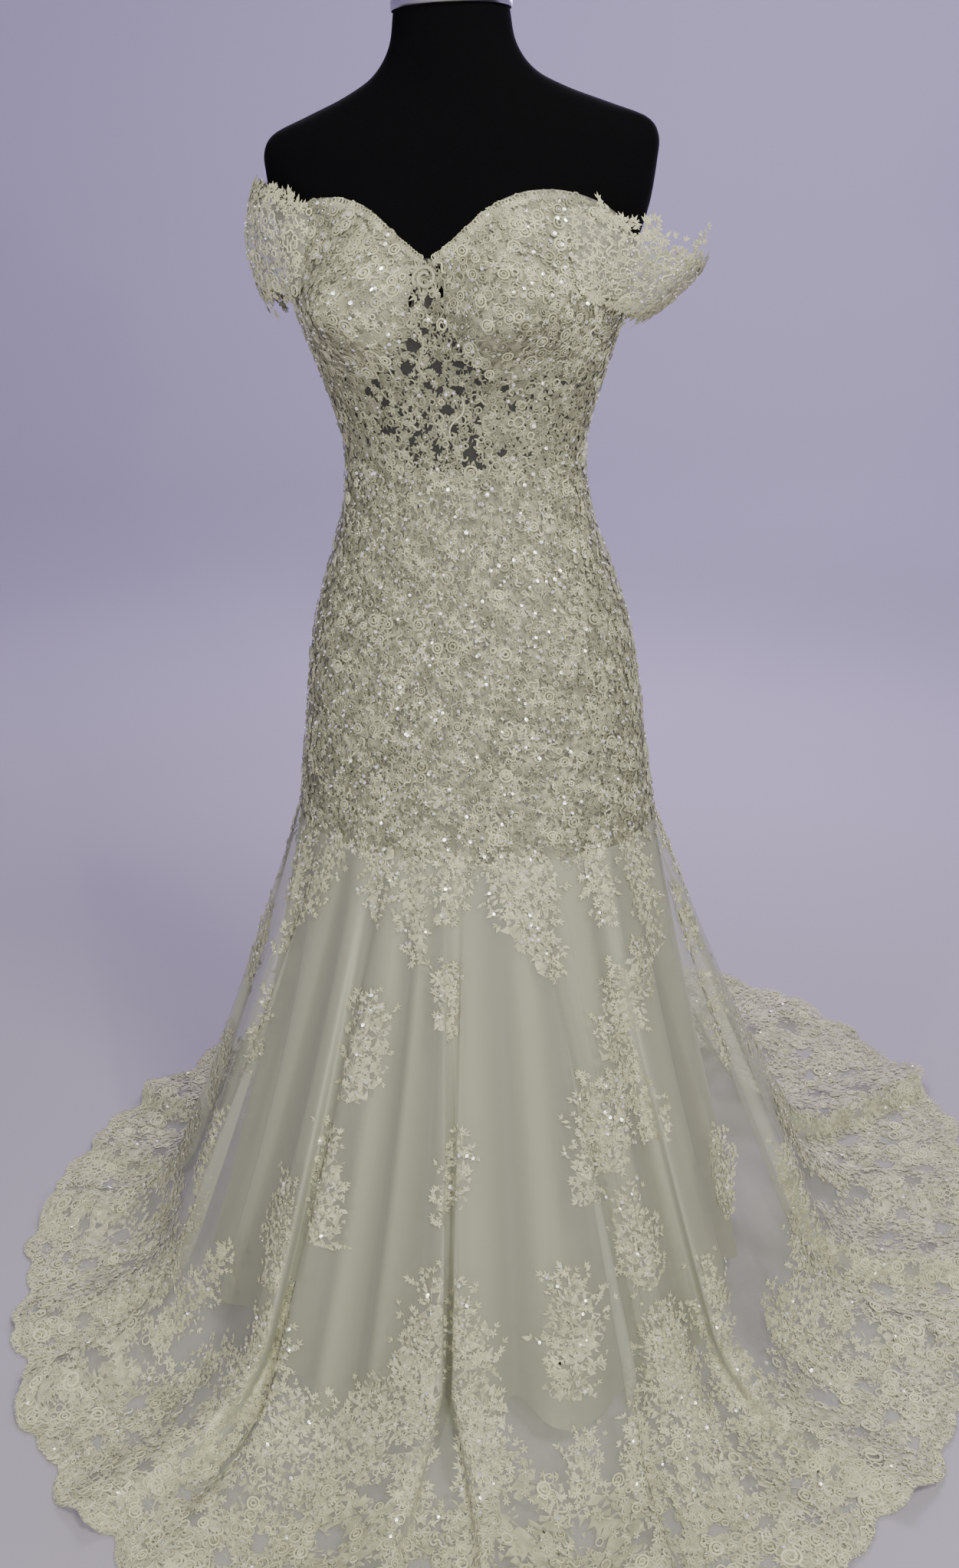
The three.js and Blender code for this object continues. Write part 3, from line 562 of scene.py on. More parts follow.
FLORET = floret_motif(5.2, 5)
SIX_FLORET = floret_motif(5.8, 6, 1.8)
TINY_FLORET = floret_motif(3.6, 5, 1.2)
LEAF = leaf_motif(10, 4.4)
THREAD = leaf_motif(10, 1.0)
THREAD[0][:, 2] *= 0.4
TWIG = joined(leaf_motif(9, 3.0), leaf_motif(7.5, 2.8, 0.75), leaf_motif(7.5, 2.8, -0.75))
SQUIGGLE = squiggle_motif(13, 2.6, 2.4)
LONG_CORD = squiggle_motif(48, 5, 2.6, 15)
SMALL_RING = ring_motif(3.1, 1.7, 1.5, 7)
RING = ring_motif(5.4, 2.2, 1.7, 9)
ROSE = joined(ring_motif(6.2, 2.6, 1.5, 10), ring_motif(2.9, 2.0, 2.2, 7))
SNAIL = snail_motif(9.5, 3.4)
LOOP = loop_motif(13, 10, 2.6)
ARCH = loop_motif(17, 32, 2.6)
BEAD = bead_motif()
SEQUIN = sequin_motif()


def scale_at(surface, u, v, steps):
    """Millimetres of the surface to one of u and to one of v, at each place."""
    du, dv = steps
    per_u = np.linalg.norm(surface(u + du, v, 0) - surface(u - du, v, 0), axis=-1) / (2 * du * MM)
    per_v = np.linalg.norm(surface(u, v + dv, 0) - surface(u, v - dv, 0), axis=-1) / (2 * dv * MM)
    return per_u, per_v


def along_cloth(surface, u, v, step):
    """Places on both sides of u, and how far along the cloth each is from it in millimetres."""
    ring = u + step * np.linspace(-60, 60, 481)
    run = np.linalg.norm(np.diff(surface(ring, v + 0 * ring, 0), axis=0), axis=1) / MM
    way = np.concatenate([[0], np.cumsum(run)])
    return ring, way - np.interp(u, ring, way)


# How motifs lie: least millimetres of the gown to a degree, how far a fold may draw a motif out, how often
# one is laid narrower, the share of tone left at a motif's rim, where shade is painted, and the height that
# has all of it
LEAST_SCALE = 1.2
MOST_STRETCH = 1.15
NARROWINGS = 2
RIM_SHADE = 0.28
CREST_HEIGHT = 1.2


class Stamped:
    """Gathers motifs that are laid on a surface, each point of a motif on the surface itself.

    A motif that a fold's steep side would draw out is laid narrower. The tone is a range from shadow (0)
    to light (1), and mottle says how uneven it is over the lace.
    """

    def __init__(self, tone=(0.66, 1.0), mottle=0.4):
        self.groups = {}
        self.grounds = []
        self.tone = tone
        self.mottle = mottle
        self.rng = np.random.default_rng(5)

    def cloud(self, u, v):
        """A soft unevenness of the tone, in patches from a thumb's to a hand's breadth across."""
        broad = np.sin(0.27 * u + 0.05 * v + 1) + np.sin(0.13 * v - 0.11 * u + 2)
        broad = broad + np.sin(0.21 * u - 0.09 * v)
        bend = 1.6 * np.sin(0.06 * v + 0.1 * u) + 1.3 * np.sin(0.17 * u - 0.04 * v)
        fine = np.sin(0.62 * u + 0.15 * v + bend) + np.sin(0.29 * v - 0.38 * u - bend)
        return 1 - 0.75 * self.mottle * np.clip(0.42 - 0.2 * broad - 0.26 * fine, 0, 1)

    def lay(self, surface, motif, u, v, turn=0.0, size=1.0, lift=0.0, steps=(0.5, 1.0), tilt=0.0):
        u = np.atleast_1d(np.asarray(u, float))
        tilt = np.broadcast_to(np.asarray(tilt, float), (len(u), 2))
        rows = [np.broadcast_to(np.asarray(x, float), u.shape) for x in (u, v, turn, size, lift)]
        group = self.groups.setdefault((surface, id(motif), steps), (motif, []))
        group[1].append(np.column_stack([*rows, tilt]))

    def ground(self, surface, ends, cells, kept, tone, lift, unroll=None):
        """The lace's own ground between two corners: small uneven facets, and holes where one isn't kept.

        With unroll, the corners are ways along the cloth, which it turns into places.
        """
        (first, top), (last, bottom) = ends
        columns, rows = cells
        i, j = np.meshgrid(np.arange(columns + 1.0), np.arange(rows + 1.0), indexing="ij")
        i[1:-1] += self.rng.uniform(-0.4, 0.4, i[1:-1].shape)
        j[:, 1:-1] += self.rng.uniform(-0.4, 0.4, j[:, 1:-1].shape)
        u, v = first + (last - first) * i / columns, top + (bottom - top) * j / rows
        u = unroll(u) if unroll else u
        at = np.arange(columns)[:, None] * (rows + 1) + np.arange(rows)
        right = at + rows + 1
        even = (np.add.outer(np.arange(columns), np.arange(rows)) % 2)[..., None] == 0
        one = np.where(even, np.stack([at, at + 1, right + 1], -1), np.stack([at, at + 1, right], -1))
        two = np.where(even, np.stack([at, right + 1, right], -1), np.stack([at + 1, right + 1, right], -1))
        faces = np.concatenate([one.reshape(-1, 3), two.reshape(-1, 3)])
        faces = faces[kept(u.ravel()[faces].mean(axis=1), v.ravel()[faces].mean(axis=1))]
        used, faces = np.unique(faces, return_inverse=True)
        spots = surface(u, v, lift + self.rng.uniform(-0.2, 0.2, u.shape)).reshape(-1, 3)[used]
        # Painted shade: the ground's low tones darken the lace between its motifs
        shade = self.rng.uniform(*tone, len(used)) * self.cloud(u, v).ravel()[used]
        self.grounds.append((spots, faces.reshape(-1, 3), shade))

    def laid(self, surface, steps, motif, rows):
        """The points, faces and shades of all of one motif's copies on a surface."""
        u, v, turn, size, lift, lean, nod = np.concatenate(rows).T[:, :, None]
        per_u, per_v = scale_at(surface, u, v, steps)
        if surface is gown:
            per_u = np.maximum(per_u, LEAST_SCALE)
        shape, ends = motif
        x = (shape[:, 0] * np.cos(turn) - shape[:, 1] * np.sin(turn)) * size
        y = (shape[:, 0] * np.sin(turn) + shape[:, 1] * np.cos(turn)) * size
        out = shape[:, 2] * size + lift + x * lean + y * nod
        across, down = x / per_u, v - y / per_v
        spots = surface(u + across, down, out)
        meant = MOST_STRETCH * size[:, 0] * np.linalg.norm(shape - shape.mean(axis=0), axis=-1).max()
        for _ in range(NARROWINGS if surface is gown else 0):
            spread = np.linalg.norm(spots - spots.mean(axis=1, keepdims=True), axis=-1)
            narrow = np.clip(meant / spread.max(axis=1) * MM, 0.2, 1)
            drawn = narrow < 1
            if drawn.any():
                across[drawn] *= narrow[drawn, None]
                spots[drawn] = surface(u[drawn] + across[drawn], down[drawn], out[drawn])
        tone = self.rng.uniform(*self.tone, (len(u), 1)) * self.cloud(u, v)
        # Painted shade: each motif is darker at its low rim than at its raised crest
        shade = tone * (RIM_SHADE + (1 - RIM_SHADE) * np.clip(shape[:, 2] / CREST_HEIGHT, 0, 1))
        starts = np.arange(len(u))[:, None, None] * len(shape)
        return spots.reshape(-1, 3), (ends + starts).reshape(-1, 3), shade.ravel()

    def build(self, name, material):
        """All grounds and motifs as one mesh."""
        pieces = list(self.grounds)
        for (surface, _, steps), (motif, rows) in self.groups.items():
            pieces.append(self.laid(surface, steps, motif, rows))
        points, faces = joined(*((spots, ends) for spots, ends, _ in pieces))
        return build_mesh(name, points, faces, material, np.concatenate([shade for *_, shade in pieces]))


def build_mesh(name, points, faces, material, shade=None):
    mesh = bpy.data.meshes.new(name)
    mesh.vertices.add(len(points))
    mesh.vertices.foreach_set("co", np.asarray(points, np.float32).ravel())
    faces = np.asarray(faces, np.int32)
    mesh.loops.add(faces.size)
    mesh.loops.foreach_set("vertex_index", faces.ravel())
    mesh.polygons.add(len(faces))
    mesh.polygons.foreach_set("loop_start", np.arange(0, faces.size, faces.shape[1], dtype=np.int32))
    mesh.update(calc_edges=True)
    mesh.validate()
    mesh.shade_smooth()
    mesh.materials.append(material)
    if shade is not None:
        layer = mesh.attributes.new("shade", "FLOAT", "POINT")
        layer.data.foreach_set("value", np.asarray(shade, np.float32).ravel())
    obj = bpy.data.objects.new(name, mesh)
    bpy.context.scene.collection.objects.link(obj)
    return obj


def build_sheet(name, points, material, thickness=0.0, shade=None):
    """A sheet through a grid of points, columns round the gown and rows down it."""
    columns, rows = points.shape[:2]
    i, j = np.meshgrid(np.arange(columns - 1), np.arange(rows - 1), indexing="ij")
    a = (i * rows + j).ravel()
    faces = np.stack([a, a + 1, a + rows + 1, a + rows], -1)
    obj = build_mesh(name, points.reshape(-1, 3), faces, material, shade)
    if thickness:
        wall = obj.modifiers.new("wall", "SOLIDIFY")
        wall.thickness = thickness
        wall.offset = -1
    return obj


def keep(obj, slot, *nodes):
    """Every piece rides on the one body and may stand for CAD nodes; the slot is not used."""
    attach(obj, BODY_NAME)
    if nodes:
        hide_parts(*nodes)
    return obj


# Materials


THREAD_DEPTH = 0.0006
STEEL_COLOUR = (0.62, 0.62, 0.64)
IRON_COLOUR = (0.02, 0.02, 0.025)


def colour(values):
    return (*values, 1.0)


def cloth_material(
    name, base, roughness, sheen=0.0, alpha=1.0, grain=900.0, relief=0.0, shadow=None, shine=0.5,
    sheer=False,
):
    """Cloth with a fine thread relief.

    The mesh's shade mixes in a second colour, painted shade on lace and lining and the floor's own colour
    on the floor, or, on sheer net, says how much the net hides.
    """
    material = bpy.data.materials.new(name)
    material.use_nodes = True
    tree = material.node_tree
    shader = tree.nodes["Principled BSDF"]
    shader.inputs["Base Color"].default_value = colour(base)
    shader.inputs["Roughness"].default_value = roughness
    shader.inputs["Sheen Weight"].default_value = sheen
    shader.inputs["Sheen Roughness"].default_value = 0.4
    shader.inputs["Alpha"].default_value = alpha
    shader.inputs["Specular IOR Level"].default_value = shine
    where = tree.nodes.new("ShaderNodeTexCoord")
    shade = tree.nodes.new("ShaderNodeAttribute")
    shade.attribute_name = "shade"
    if sheer:
        tree.links.new(shade.outputs["Fac"], shader.inputs["Alpha"])
    if shadow:
        mix = tree.nodes.new("ShaderNodeMix")
        mix.data_type = "RGBA"
        sockets = {socket.identifier: socket for socket in (*mix.inputs, *mix.outputs)}
        sockets["A_Color"].default_value = colour(shadow)
        sockets["B_Color"].default_value = colour(base)
        tree.links.new(shade.outputs["Fac"], sockets["Factor_Float"])
        tree.links.new(sockets["Result_Color"], shader.inputs["Base Color"])
    if relief:
        thread = tree.nodes.new("ShaderNodeTexNoise")
        thread.inputs["Scale"].default_value = grain
        thread.inputs["Detail"].default_value = 2.0
        bump = tree.nodes.new("ShaderNodeBump")
        bump.inputs["Strength"].default_value = relief
        bump.inputs["Distance"].default_value = THREAD_DEPTH
        tree.links.new(where.outputs["Object"], thread.inputs["Vector"])
        tree.links.new(thread.outputs["Fac"], bump.inputs["Height"])
        tree.links.new(bump.outputs["Normal"], shader.inputs["Normal"])
    return material


def hard_material(name, base, roughness, metallic, coat=0.0):
    """A bead, a sequin, steel or iron."""
    material = bpy.data.materials.new(name)
    material.use_nodes = True
    shader = material.node_tree.nodes["Principled BSDF"]
    shader.inputs["Base Color"].default_value = colour(base)
    shader.inputs["Roughness"].default_value = roughness
    shader.inputs["Metallic"].default_value = metallic
    shader.inputs["Coat Weight"].default_value = coat
    shader.inputs["Coat Roughness"].default_value = 0.04
    return material


def material(kind):
    """A material of the gown, made when it is first asked for."""
    name = f"gown_{kind}"
    if name in bpy.data.materials:
        return bpy.data.materials[name]
    look = bpy.context.scene.gown_look
    makers = {
        "lace": lambda: cloth_material(
            name, look.lace_colour, 0.72, 0.04, relief=0.5, shadow=look.lace_shadow
        ),
        "net": lambda: cloth_material(
            name, look.net_colour, 0.85, 0.2, look.net_opacity, relief=0.15, sheer=True
        ),
        "illusion": lambda: cloth_material(
            name, look.illusion_colour, 0.85, 0.1, look.illusion_opacity, relief=0.15
        ),
        "lining": lambda: cloth_material(
            name, look.lining_colour, 0.4, 0.1, grain=1600, relief=0.12, shadow=look.lining_shadow
        ),
        "velvet": lambda: cloth_material(name, look.form_colour, 1.0, grain=1400, relief=0.2, shine=0.08),
        "bead": lambda: hard_material(name, look.bead_colour, 0.08, 0.25, 1.0),
        "sequin": lambda: hard_material(name, look.bead_colour, 0.3, 0.6, 0.5),
        "steel": lambda: hard_material(name, STEEL_COLOUR, 0.28, 1.0),
        "base": lambda: hard_material(name, IRON_COLOUR, 0.42, 0.3),
    }
    return makers[kind]()


def colour_setting(name, description, default):
    return bpy.props.FloatVectorProperty(
        name=name, description=description, subtype="COLOR", size=3, min=0, max=1, default=default
    )


def opacity_setting(name, description, default):
    return bpy.props.FloatProperty(
        name=name, description=description, subtype="FACTOR", min=0, max=1, default=default
    )


def length_setting(name, description, least, most, default):
    return bpy.props.FloatProperty(
        name=name, description=description, unit="LENGTH", min=least, max=most, default=default
    )


class GownLook(bpy.types.PropertyGroup):
    """Colours and sizes of the gown's cloth, lace and beads."""

    lace_colour: colour_setting("Lace", "Colour of the corded lace", (0.83, 0.82, 0.505))
    # Painted shade: the motifs' rims and the lace's low ground are mixed towards the lace shadow
    lace_shadow: colour_setting("Lace shadow", "Colour of the lace's low ground", (0.15, 0.147, 0.09))
    lining_colour: colour_setting("Lining", "Colour of the satin lining", (0.31, 0.317, 0.185))
    # Painted shade: the lining is mixed towards the lining shadow under the lace and deep in its folds
    lining_shadow: colour_setting(
        "Lining shadow", "Colour of the lining under lace and deep in its folds", (0.12, 0.118, 0.08)
    )
    net_colour: colour_setting("Net", "Colour of the overskirt's net", (0.46, 0.468, 0.34))
    net_opacity: opacity_setting("Net opacity", "How much one layer of net hides", 0.38)
    illusion_colour: colour_setting("Sheer net", "Colour of the sheer bodice net", (0.20, 0.20, 0.17))
    illusion_opacity: opacity_setting("Sheer net opacity", "How much the sheer bodice net hides", 0.2)
    form_colour: colour_setting("Form cover", "Colour of the dress form's velvet", (0.0018, 0.0018, 0.002))
    bead_colour: colour_setting("Beads", "Colour of the beads and sequins", (0.95, 0.94, 0.9))
    motif_spacing: length_setting(
        "Motif spacing", "Distance between motifs in the close lace", 0.006, 0.05, 0.0079
    )
    bead_radius: length_setting("Bead radius", "Radius of a sewn bead", 0.0005, 0.005, 0.0013)


# Scattering


def scatter(rng, first, last, top, bottom, spacing, wobble=0.42):
    """Jittered angles and ways down over a region, about spacing millimetres apart on the gown."""
    us, vs = [], []
    row = 0
    v = top
    while v <= bottom:
        middle = np.array([(first + last) / 2])
        ring = np.linspace(first, last, 25)
        run = np.linalg.norm(np.diff(gown(ring, np.full(25, v), 0), axis=0), axis=1).sum() / MM
        count = max(int(run / spacing), 1)
        u = first + (last - first) * (np.arange(count) + 0.5 * (row % 2) + 0.25) / count
        us.append(u + rng.uniform(-wobble, wobble, count) * (last - first) / count)
        vs.append(v + rng.uniform(-wobble, wobble, count) * spacing)
        per = np.linalg.norm(gown(middle, middle * 0 + v + 2, 0) - gown(middle, middle * 0 + v - 2, 0))
        v += 0.88 * spacing / (per / (4 * MM))
        row += 1
    return np.concatenate(us), np.concatenate(vs)


def pick(rng, count, weights):
    """For each of count motifs, which of the weighted kinds it is."""
    weights = np.array(weights, float)
    return rng.choice(len(weights), count, p=weights / weights.sum())


def lay_mixed(stamp, rng, surface, u, v, kinds, lift, size, relief, steps=(0.5, 1.0)):
    """Lays a mixture of motifs, each turned and sized by chance. kinds are (motif, weight)."""
    which = pick(rng, len(u), [weight for _, weight in kinds])
    turn = rng.uniform(0, 2 * math.pi, len(u))
    sizes = rng.uniform(*size, len(u))
    lifts = lift + relief * rng.random(len(u))
    for k, (motif, _) in enumerate(kinds):
        m = which == k
        stamp.lay(surface, motif, u[m], v[m], turn[m], sizes[m], lifts[m], steps)


# Mixtures of motifs, each with its weight
CLOSE_LACE = [
    (FLORET, 5), (SIX_FLORET, 3), (LEAF, 2.5), (TWIG, 2.5), (SQUIGGLE, 2.4), (SMALL_RING, 1.2),
    (ROSE, 0.6),
]
CUP_LACE = [(FLORET, 4), (SIX_FLORET, 3), (LEAF, 1.5), (SQUIGGLE, 1.6), (SMALL_RING, 1.6), (ROSE, 2.2)]
OPEN_LACE = [(FLORET, 5), (TINY_FLORET, 3), (SQUIGGLE, 3), (SMALL_RING, 2), (TWIG, 2), (RING, 0.8)]
BORDER_LACE = [
    (FLORET, 4), (SIX_FLORET, 3.5), (TWIG, 4), (LEAF, 2), (SQUIGGLE, 2), (RING, 1.0), (SMALL_RING, 1.2),
    (ROSE, 0.7),
]

# Places noted for beads and sequins while the lace is laid
BEAD_SPOTS = {"bodice": [], "hips": [], "skirt": [], "border": []}


def sew(rng, group, u, v, share):
    """Notes a share of some places for beads and sequins."""
    some = rng.random(len(u)) < share
    BEAD_SPOTS[group].append(np.stack([u[some], v[some]], -1))


# Sprays, in millimetres: branches up the stem, leaves along a branch, threads and the web's facets
BRANCH_SPACING = 8.5
LEAF_SPACING = 4.2
LONGEST_THREAD = 13.0
WEB_FACET = 5.5


def fullness(t, hanging):
    """How wide a spray is at a share of its length, against its widest."""
    t = np.clip(t, 0, 1)
    return (1 - t) ** 0.6 if hanging else np.sin(math.pi * (0.16 + 0.84 * t) - 1e-9) ** 0.7


def spray(rng, length, width, hanging):
    """Places (across, up, turn) on a stem and its branches and at their tips, and threads with a length."""
    places, tips, threads = [], [], []
    count = max(int(length / BRANCH_SPACING), 3)
    sway, phase = 0.12 * width * rng.uniform(0.4, 1.2), rng.uniform(0, 6)
    for k in range(count):
        t = (k + 0.4) / count
        swell = fullness(t, hanging)
        x0 = sway * (math.sin(2.8 * t + phase) - math.sin(phase))
        y0 = t * length
        places.append((x0, y0, rng.uniform(-0.5, 0.5)))
        threads.append((x0, y0 - 2, rng.uniform(-0.15, 0.15), 1.5 * length / count))
        for side in (-1, 1):
            reach = width / 2 * swell * rng.uniform(0.45, 1.25)
            slope = rng.uniform(-0.1, 1.5)
            start = y0 + rng.uniform(-6, 6)
            lean = -side * (math.pi / 2 - math.atan(slope))
            threads.append((x0, start, lean, min(0.7 * reach, LONGEST_THREAD)))
            steps = max(int(round(reach / LEAF_SPACING)), 1)
            for j in range(1, steps + 1):
                x = reach * j / steps
                if j == steps or rng.random() < 0.84:
                    up = start + slope * x**1.25 / reach**0.25
                    places.append((x0 + side * x, up, lean + rng.uniform(-0.9, 0.9)))
            tips.append((*places[-1][:2], lean + rng.uniform(-0.4, 0.4)))
    tips.append((x0, length - 3, 0.0))
    places = np.array(places)
    places[:, :2] += rng.normal(0, 1.7, (len(places), 2))
    return places, np.array(tips), np.array(threads)


def lay_spray(stamp, rng, surface, u, v, length, width, turn, hanging=False, steps=(0.5, 2.0), lift=0.8):
    """A feathery spray of lace from its foot at a place on a surface, turned from upright.

    It is laid out along the cloth, so that a fold neither draws it out nor thins it.
    """
    places, tips, threads = spray(rng, length, width, hanging)
    turn += math.pi if hanging else 0.0
    c, s = math.cos(turn), math.sin(turn)
    per_v = float(scale_at(surface, u, v, (2 * steps[0], 2 * steps[1]))[1])
    ring, way = along_cloth(surface, u, v - 0.5 * length * c / per_v, steps[0])

    def unroll(x):
        return np.interp(x, way, ring)

    def spot(xy):
        return unroll(xy[:, 0] * c - xy[:, 1] * s), v - (xy[:, 0] * s + xy[:, 1] * c) / per_v

    a, b = spot(places)
    n = len(a)
    kind = pick(rng, n, (5, 3, 2.5))
    size, lifts = rng.uniform(0.55, 1.05, n), lift + rng.uniform(0, 2.2, n)
    for k, motif in enumerate((LEAF, TINY_FLORET, FLORET)):
        m = kind == k
        stamp.lay(surface, motif, a[m], b[m], turn + places[m, 2], size[m], lifts[m], steps)
    p, q = spot(tips)
    stamp.lay(surface, TWIG, p, q, turn + tips[:, 2], rng.uniform(0.6, 1.0, len(p)), lift + 0.4, steps)
    p, q = spot(threads)
    stamp.lay(surface, THREAD, p, q, turn + threads[:, 2], threads[:, 3] / 10, lift, steps)

    def webbed(at, down):
        x, y = np.interp(at, ring, way), (v - down) * per_v
        x, y = x * c + y * s, y * c - x * s
        full = 0.42 * width * fullness(y / length, hanging) * rng.uniform(0.5, 1.2, x.shape)
        return (np.abs(x) < full) & (y > 0) & (y < 0.96 * length) & (rng.random(x.shape) > 0.4)

    if surface is gown:
        left, right = np.interp((a.min(), a.max()), ring, way)
        corners = (left, b.min()), (right, b.max())
        cells = int((right - left) / WEB_FACET) + 2, int(np.ptp(b) * per_v / WEB_FACET) + 2
        stamp.ground(surface, corners, cells, webbed, (0.23, 0.74), lift - 0.1, unroll)
    return a, b


def lay_medallion(stamp, rng, u, v, radius):
    """A round of rings, loops and leaves about a rose."""
    per_u, per_v = scale_at(gown, np.array([u]), np.array([v]), (1.0, 4.0))
    stamp.lay(gown, ROSE, u, v, 0, radius / 30, 1.6)
    for motif, share, count, size in ((RING, 0.42, 8, 0.9), (LEAF, 0.52, 13, 0.8), (LOOP, 0.78, 12, 1.0)):
        a = np.arange(count) * 2 * math.pi / count + rng.uniform(0, 1) + rng.uniform(-0.08, 0.08, count)
        reach = share * radius * rng.uniform(0.94, 1.06, count)
        turn = a - math.pi / 2
        stamp.lay(
            gown, motif, u + reach * np.cos(a) / per_u, v - reach * np.sin(a) / per_v, turn,
            size * radius / 30, 1.1,
        )


# Operators


# The neck cap's profile from the neck up: rise and growth over the neck in millimetres
CAP_PROFILE = np.array([(0.3, 0.2), (0.3, 1), (8, 1.2), (12, 0), (13.6, -4), (13.8, -8)])


class GOWN_OT_form(bpy.types.Operator):
    """Make the velvet-covered dress form and its steel and iron parts"""

    bl_idname = "gown.form"
    bl_label = "Dress form"

    def execute(self, context):
        angles = np.linspace(0, 360, 121)[:-1]
        heights = np.concatenate([np.linspace(FORM_BOTTOM_Z, 1330, 48), np.linspace(1334, NECK_TOP_Z, 40)])
        a, z = np.meshgrid(angles, heights[::-1], indexing="ij")
        taper = FORM_TAPER * np.clip((FORM_TAPER_Z - z) / (FORM_TAPER_Z - FORM_BOTTOM_Z), 0, 1)
        points = polar(a, body_radius(a, z) - FORM_GAP - taper, z)
        points = np.concatenate([points, points[:, -1:] * (0.1, 0.1, 1)], axis=1)
        self.tube("form_cover", points, "velvet", "form_cover", "form_torso")
        a, k = np.meshgrid(angles, np.arange(len(CAP_PROFILE))[::-1], indexing="ij")
        rise, grow = CAP_PROFILE[k, 0], CAP_PROFILE[k, 1]
        points = polar(a, body_radius(a, NECK_TOP_Z) + grow, NECK_TOP_Z + rise)
        points = np.concatenate([points[:, :1] * (0.01, 0.01, 1), points], axis=1)
        self.tube("form_cap", points, "steel", "steel", "form_neck_cap")
        for name, kind in (("form_pole", "steel"), ("form_base", "base")):
            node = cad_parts[name]
            node.data.materials.clear()
            node.data.materials.append(material(kind))
        return {"FINISHED"}

    def tube(self, name, points, kind, slot, node):
        """A closed tube through a grid of points, columns round the form and rows down it."""
        columns, rows = points.shape[:2]
        i, j = np.meshgrid(np.arange(columns), np.arange(rows - 1), indexing="ij")
        a, b = (i * rows + j).ravel(), ((i + 1) % columns * rows + j).ravel()
        faces = np.stack([a, a + 1, b + 1, b], -1)
        obj = build_mesh(name, points.reshape(-1, 3), faces, material(kind))
        keep(obj, slot, node)


# Lining panels: name, first and last angle, and the maker's cut as width, length and area in metres
LINING_PANELS = [
    ("back_right", -180, -90, (0.74, 1.03, 0.425)),
    ("front", -90, 90, (1.58, 1.04, 0.857)),
    ("back_left", 90, 180, (0.74, 1.03, 0.425)),
]


class GOWN_OT_lining(bpy.types.Operator):
    """Make the satin lining from the waist to its wavy hem"""

    bl_idname = "gown.lining"
    bl_label = "Lining"

    def execute(self, context):
        down = np.concatenate([np.linspace(0, 0.4, 40), np.linspace(0.4, 1, 36)[1:]])
        for name, first, last, (width, length, area) in LINING_PANELS:
            angles = np.linspace(first + 0.04, last - 0.04, last - first)
            a, s = np.meshgrid(angles, down, indexing="ij")
            hem = LINING_HEM_Z + 9 * np.sin(np.radians(7 * a)) + 5 * np.sin(np.radians(17 * a) + 1)
            z = WAIST_Z + (hem - WAIST_Z) * s
            # Painted shade: darkest under the hip lace, easing off about the thigh seam, and deeper in the
            # folds' valleys
            shade = smooth(THIGH_SEAM_Z + 30 - z, 0, 40) * (1 - 0.85 * lining_fold(a, z))
            obj = build_sheet(f"skirt_lining_{name}", lining_point(a, z), material("lining"), 0, shade)
            keep(obj, "lining", f"lining_{name}")
        return {"FINISHED"}


def bodice_top(angle):
    """Height of the bodice's upper edge."""
    aside = np.abs(turn_between(angle, 0))
    cup = np.where(aside < NECK_POINT_TURN, NECK_POINT_Z + aside, read(CUP_EDGE, 2, aside))
    return np.where(aside <= SIDE_SEAM, cup, read(BACK_EDGE, 1, aside))


def cup_low(angle):
    """Height of the seam between the cups and the sheer front."""
    aside = np.abs(turn_between(angle, 0))
    return np.where(aside < NECK_POINT_TURN, NECK_POINT_Z, read(CUP_EDGE, 1, aside))


def waist_line(angle):
    return WAIST_Z + 0 * angle


def near_zip(u, v, half_turn):
    """Where lace would cover the zip."""
    return (np.abs(turn_between(u, 180)) < half_turn) & (v < DATUM_Z - ZIP_END_Z - 2)


# Larger open spots in the sheer front's lace: angle, height and radius
OPEN_SPOTS = [
    (-8, 1216, 6), (-8.5, 1172, 7), (-14, 1150, 6), (1, 1212, 5), (6, 1190, 5), (3, 1150, 6),
    (7, 1106, 7), (11, 1088, 6), (21, 1062, 8), (-6, 1090, 5), (-20, 1104, 5), (-27, 1086, 4.5),
    (-15, 1074, 5), (15, 1130, 5), (2, 1070, 5), (27, 1112, 4), (38, 1128, 4), (-31, 1112, 4),
    (9, 1226, 4), (-2, 1186, 4.5), (26, 1050, 5),
]

# Cords on the sheer front: motif, angle, height, size and turn
MIDRIFF_CORDS = [
    (SNAIL, -1, 1236, 1.25, 0.6),
    (SNAIL, 17, 1236, 0.85, 2.4),
    (SNAIL, -15, 1226, 0.8, 4.0),
    (LONG_CORD, -5, 1162, 1.1, 0.15),
    (ARCH, -25, 1140, 1.0, 0.1),
    (LONG_CORD, 13, 1098, 0.9, -0.3),
    (SNAIL, 8, 1192, 0.75, 1.0),
    (LONG_CORD, 24, 1168, 0.7, 0.9),
]


# Bodice panels: name, first and last angle, upper and lower edge, and the maker's cut as width, length
# and area in metres
BODICE_PANELS = [
    ("cup_left", CUP_INNER, FRONT_END, bodice_top, cup_low, (0.24, 0.2, 0.034)),
    ("cup_right", -FRONT_END, -CUP_INNER, bodice_top, cup_low, (0.24, 0.2, 0.034)),
    ("midriff_net", -FRONT_END, FRONT_END, cup_low, waist_line, (0.4, 0.22, 0.047)),
    ("back_left", BACK_START, BACK_END, bodice_top, waist_line, (0.23, 0.235, 0.043)),
    ("back_right", -BACK_END, -BACK_START, bodice_top, waist_line, (0.23, 0.235, 0.043)),
]


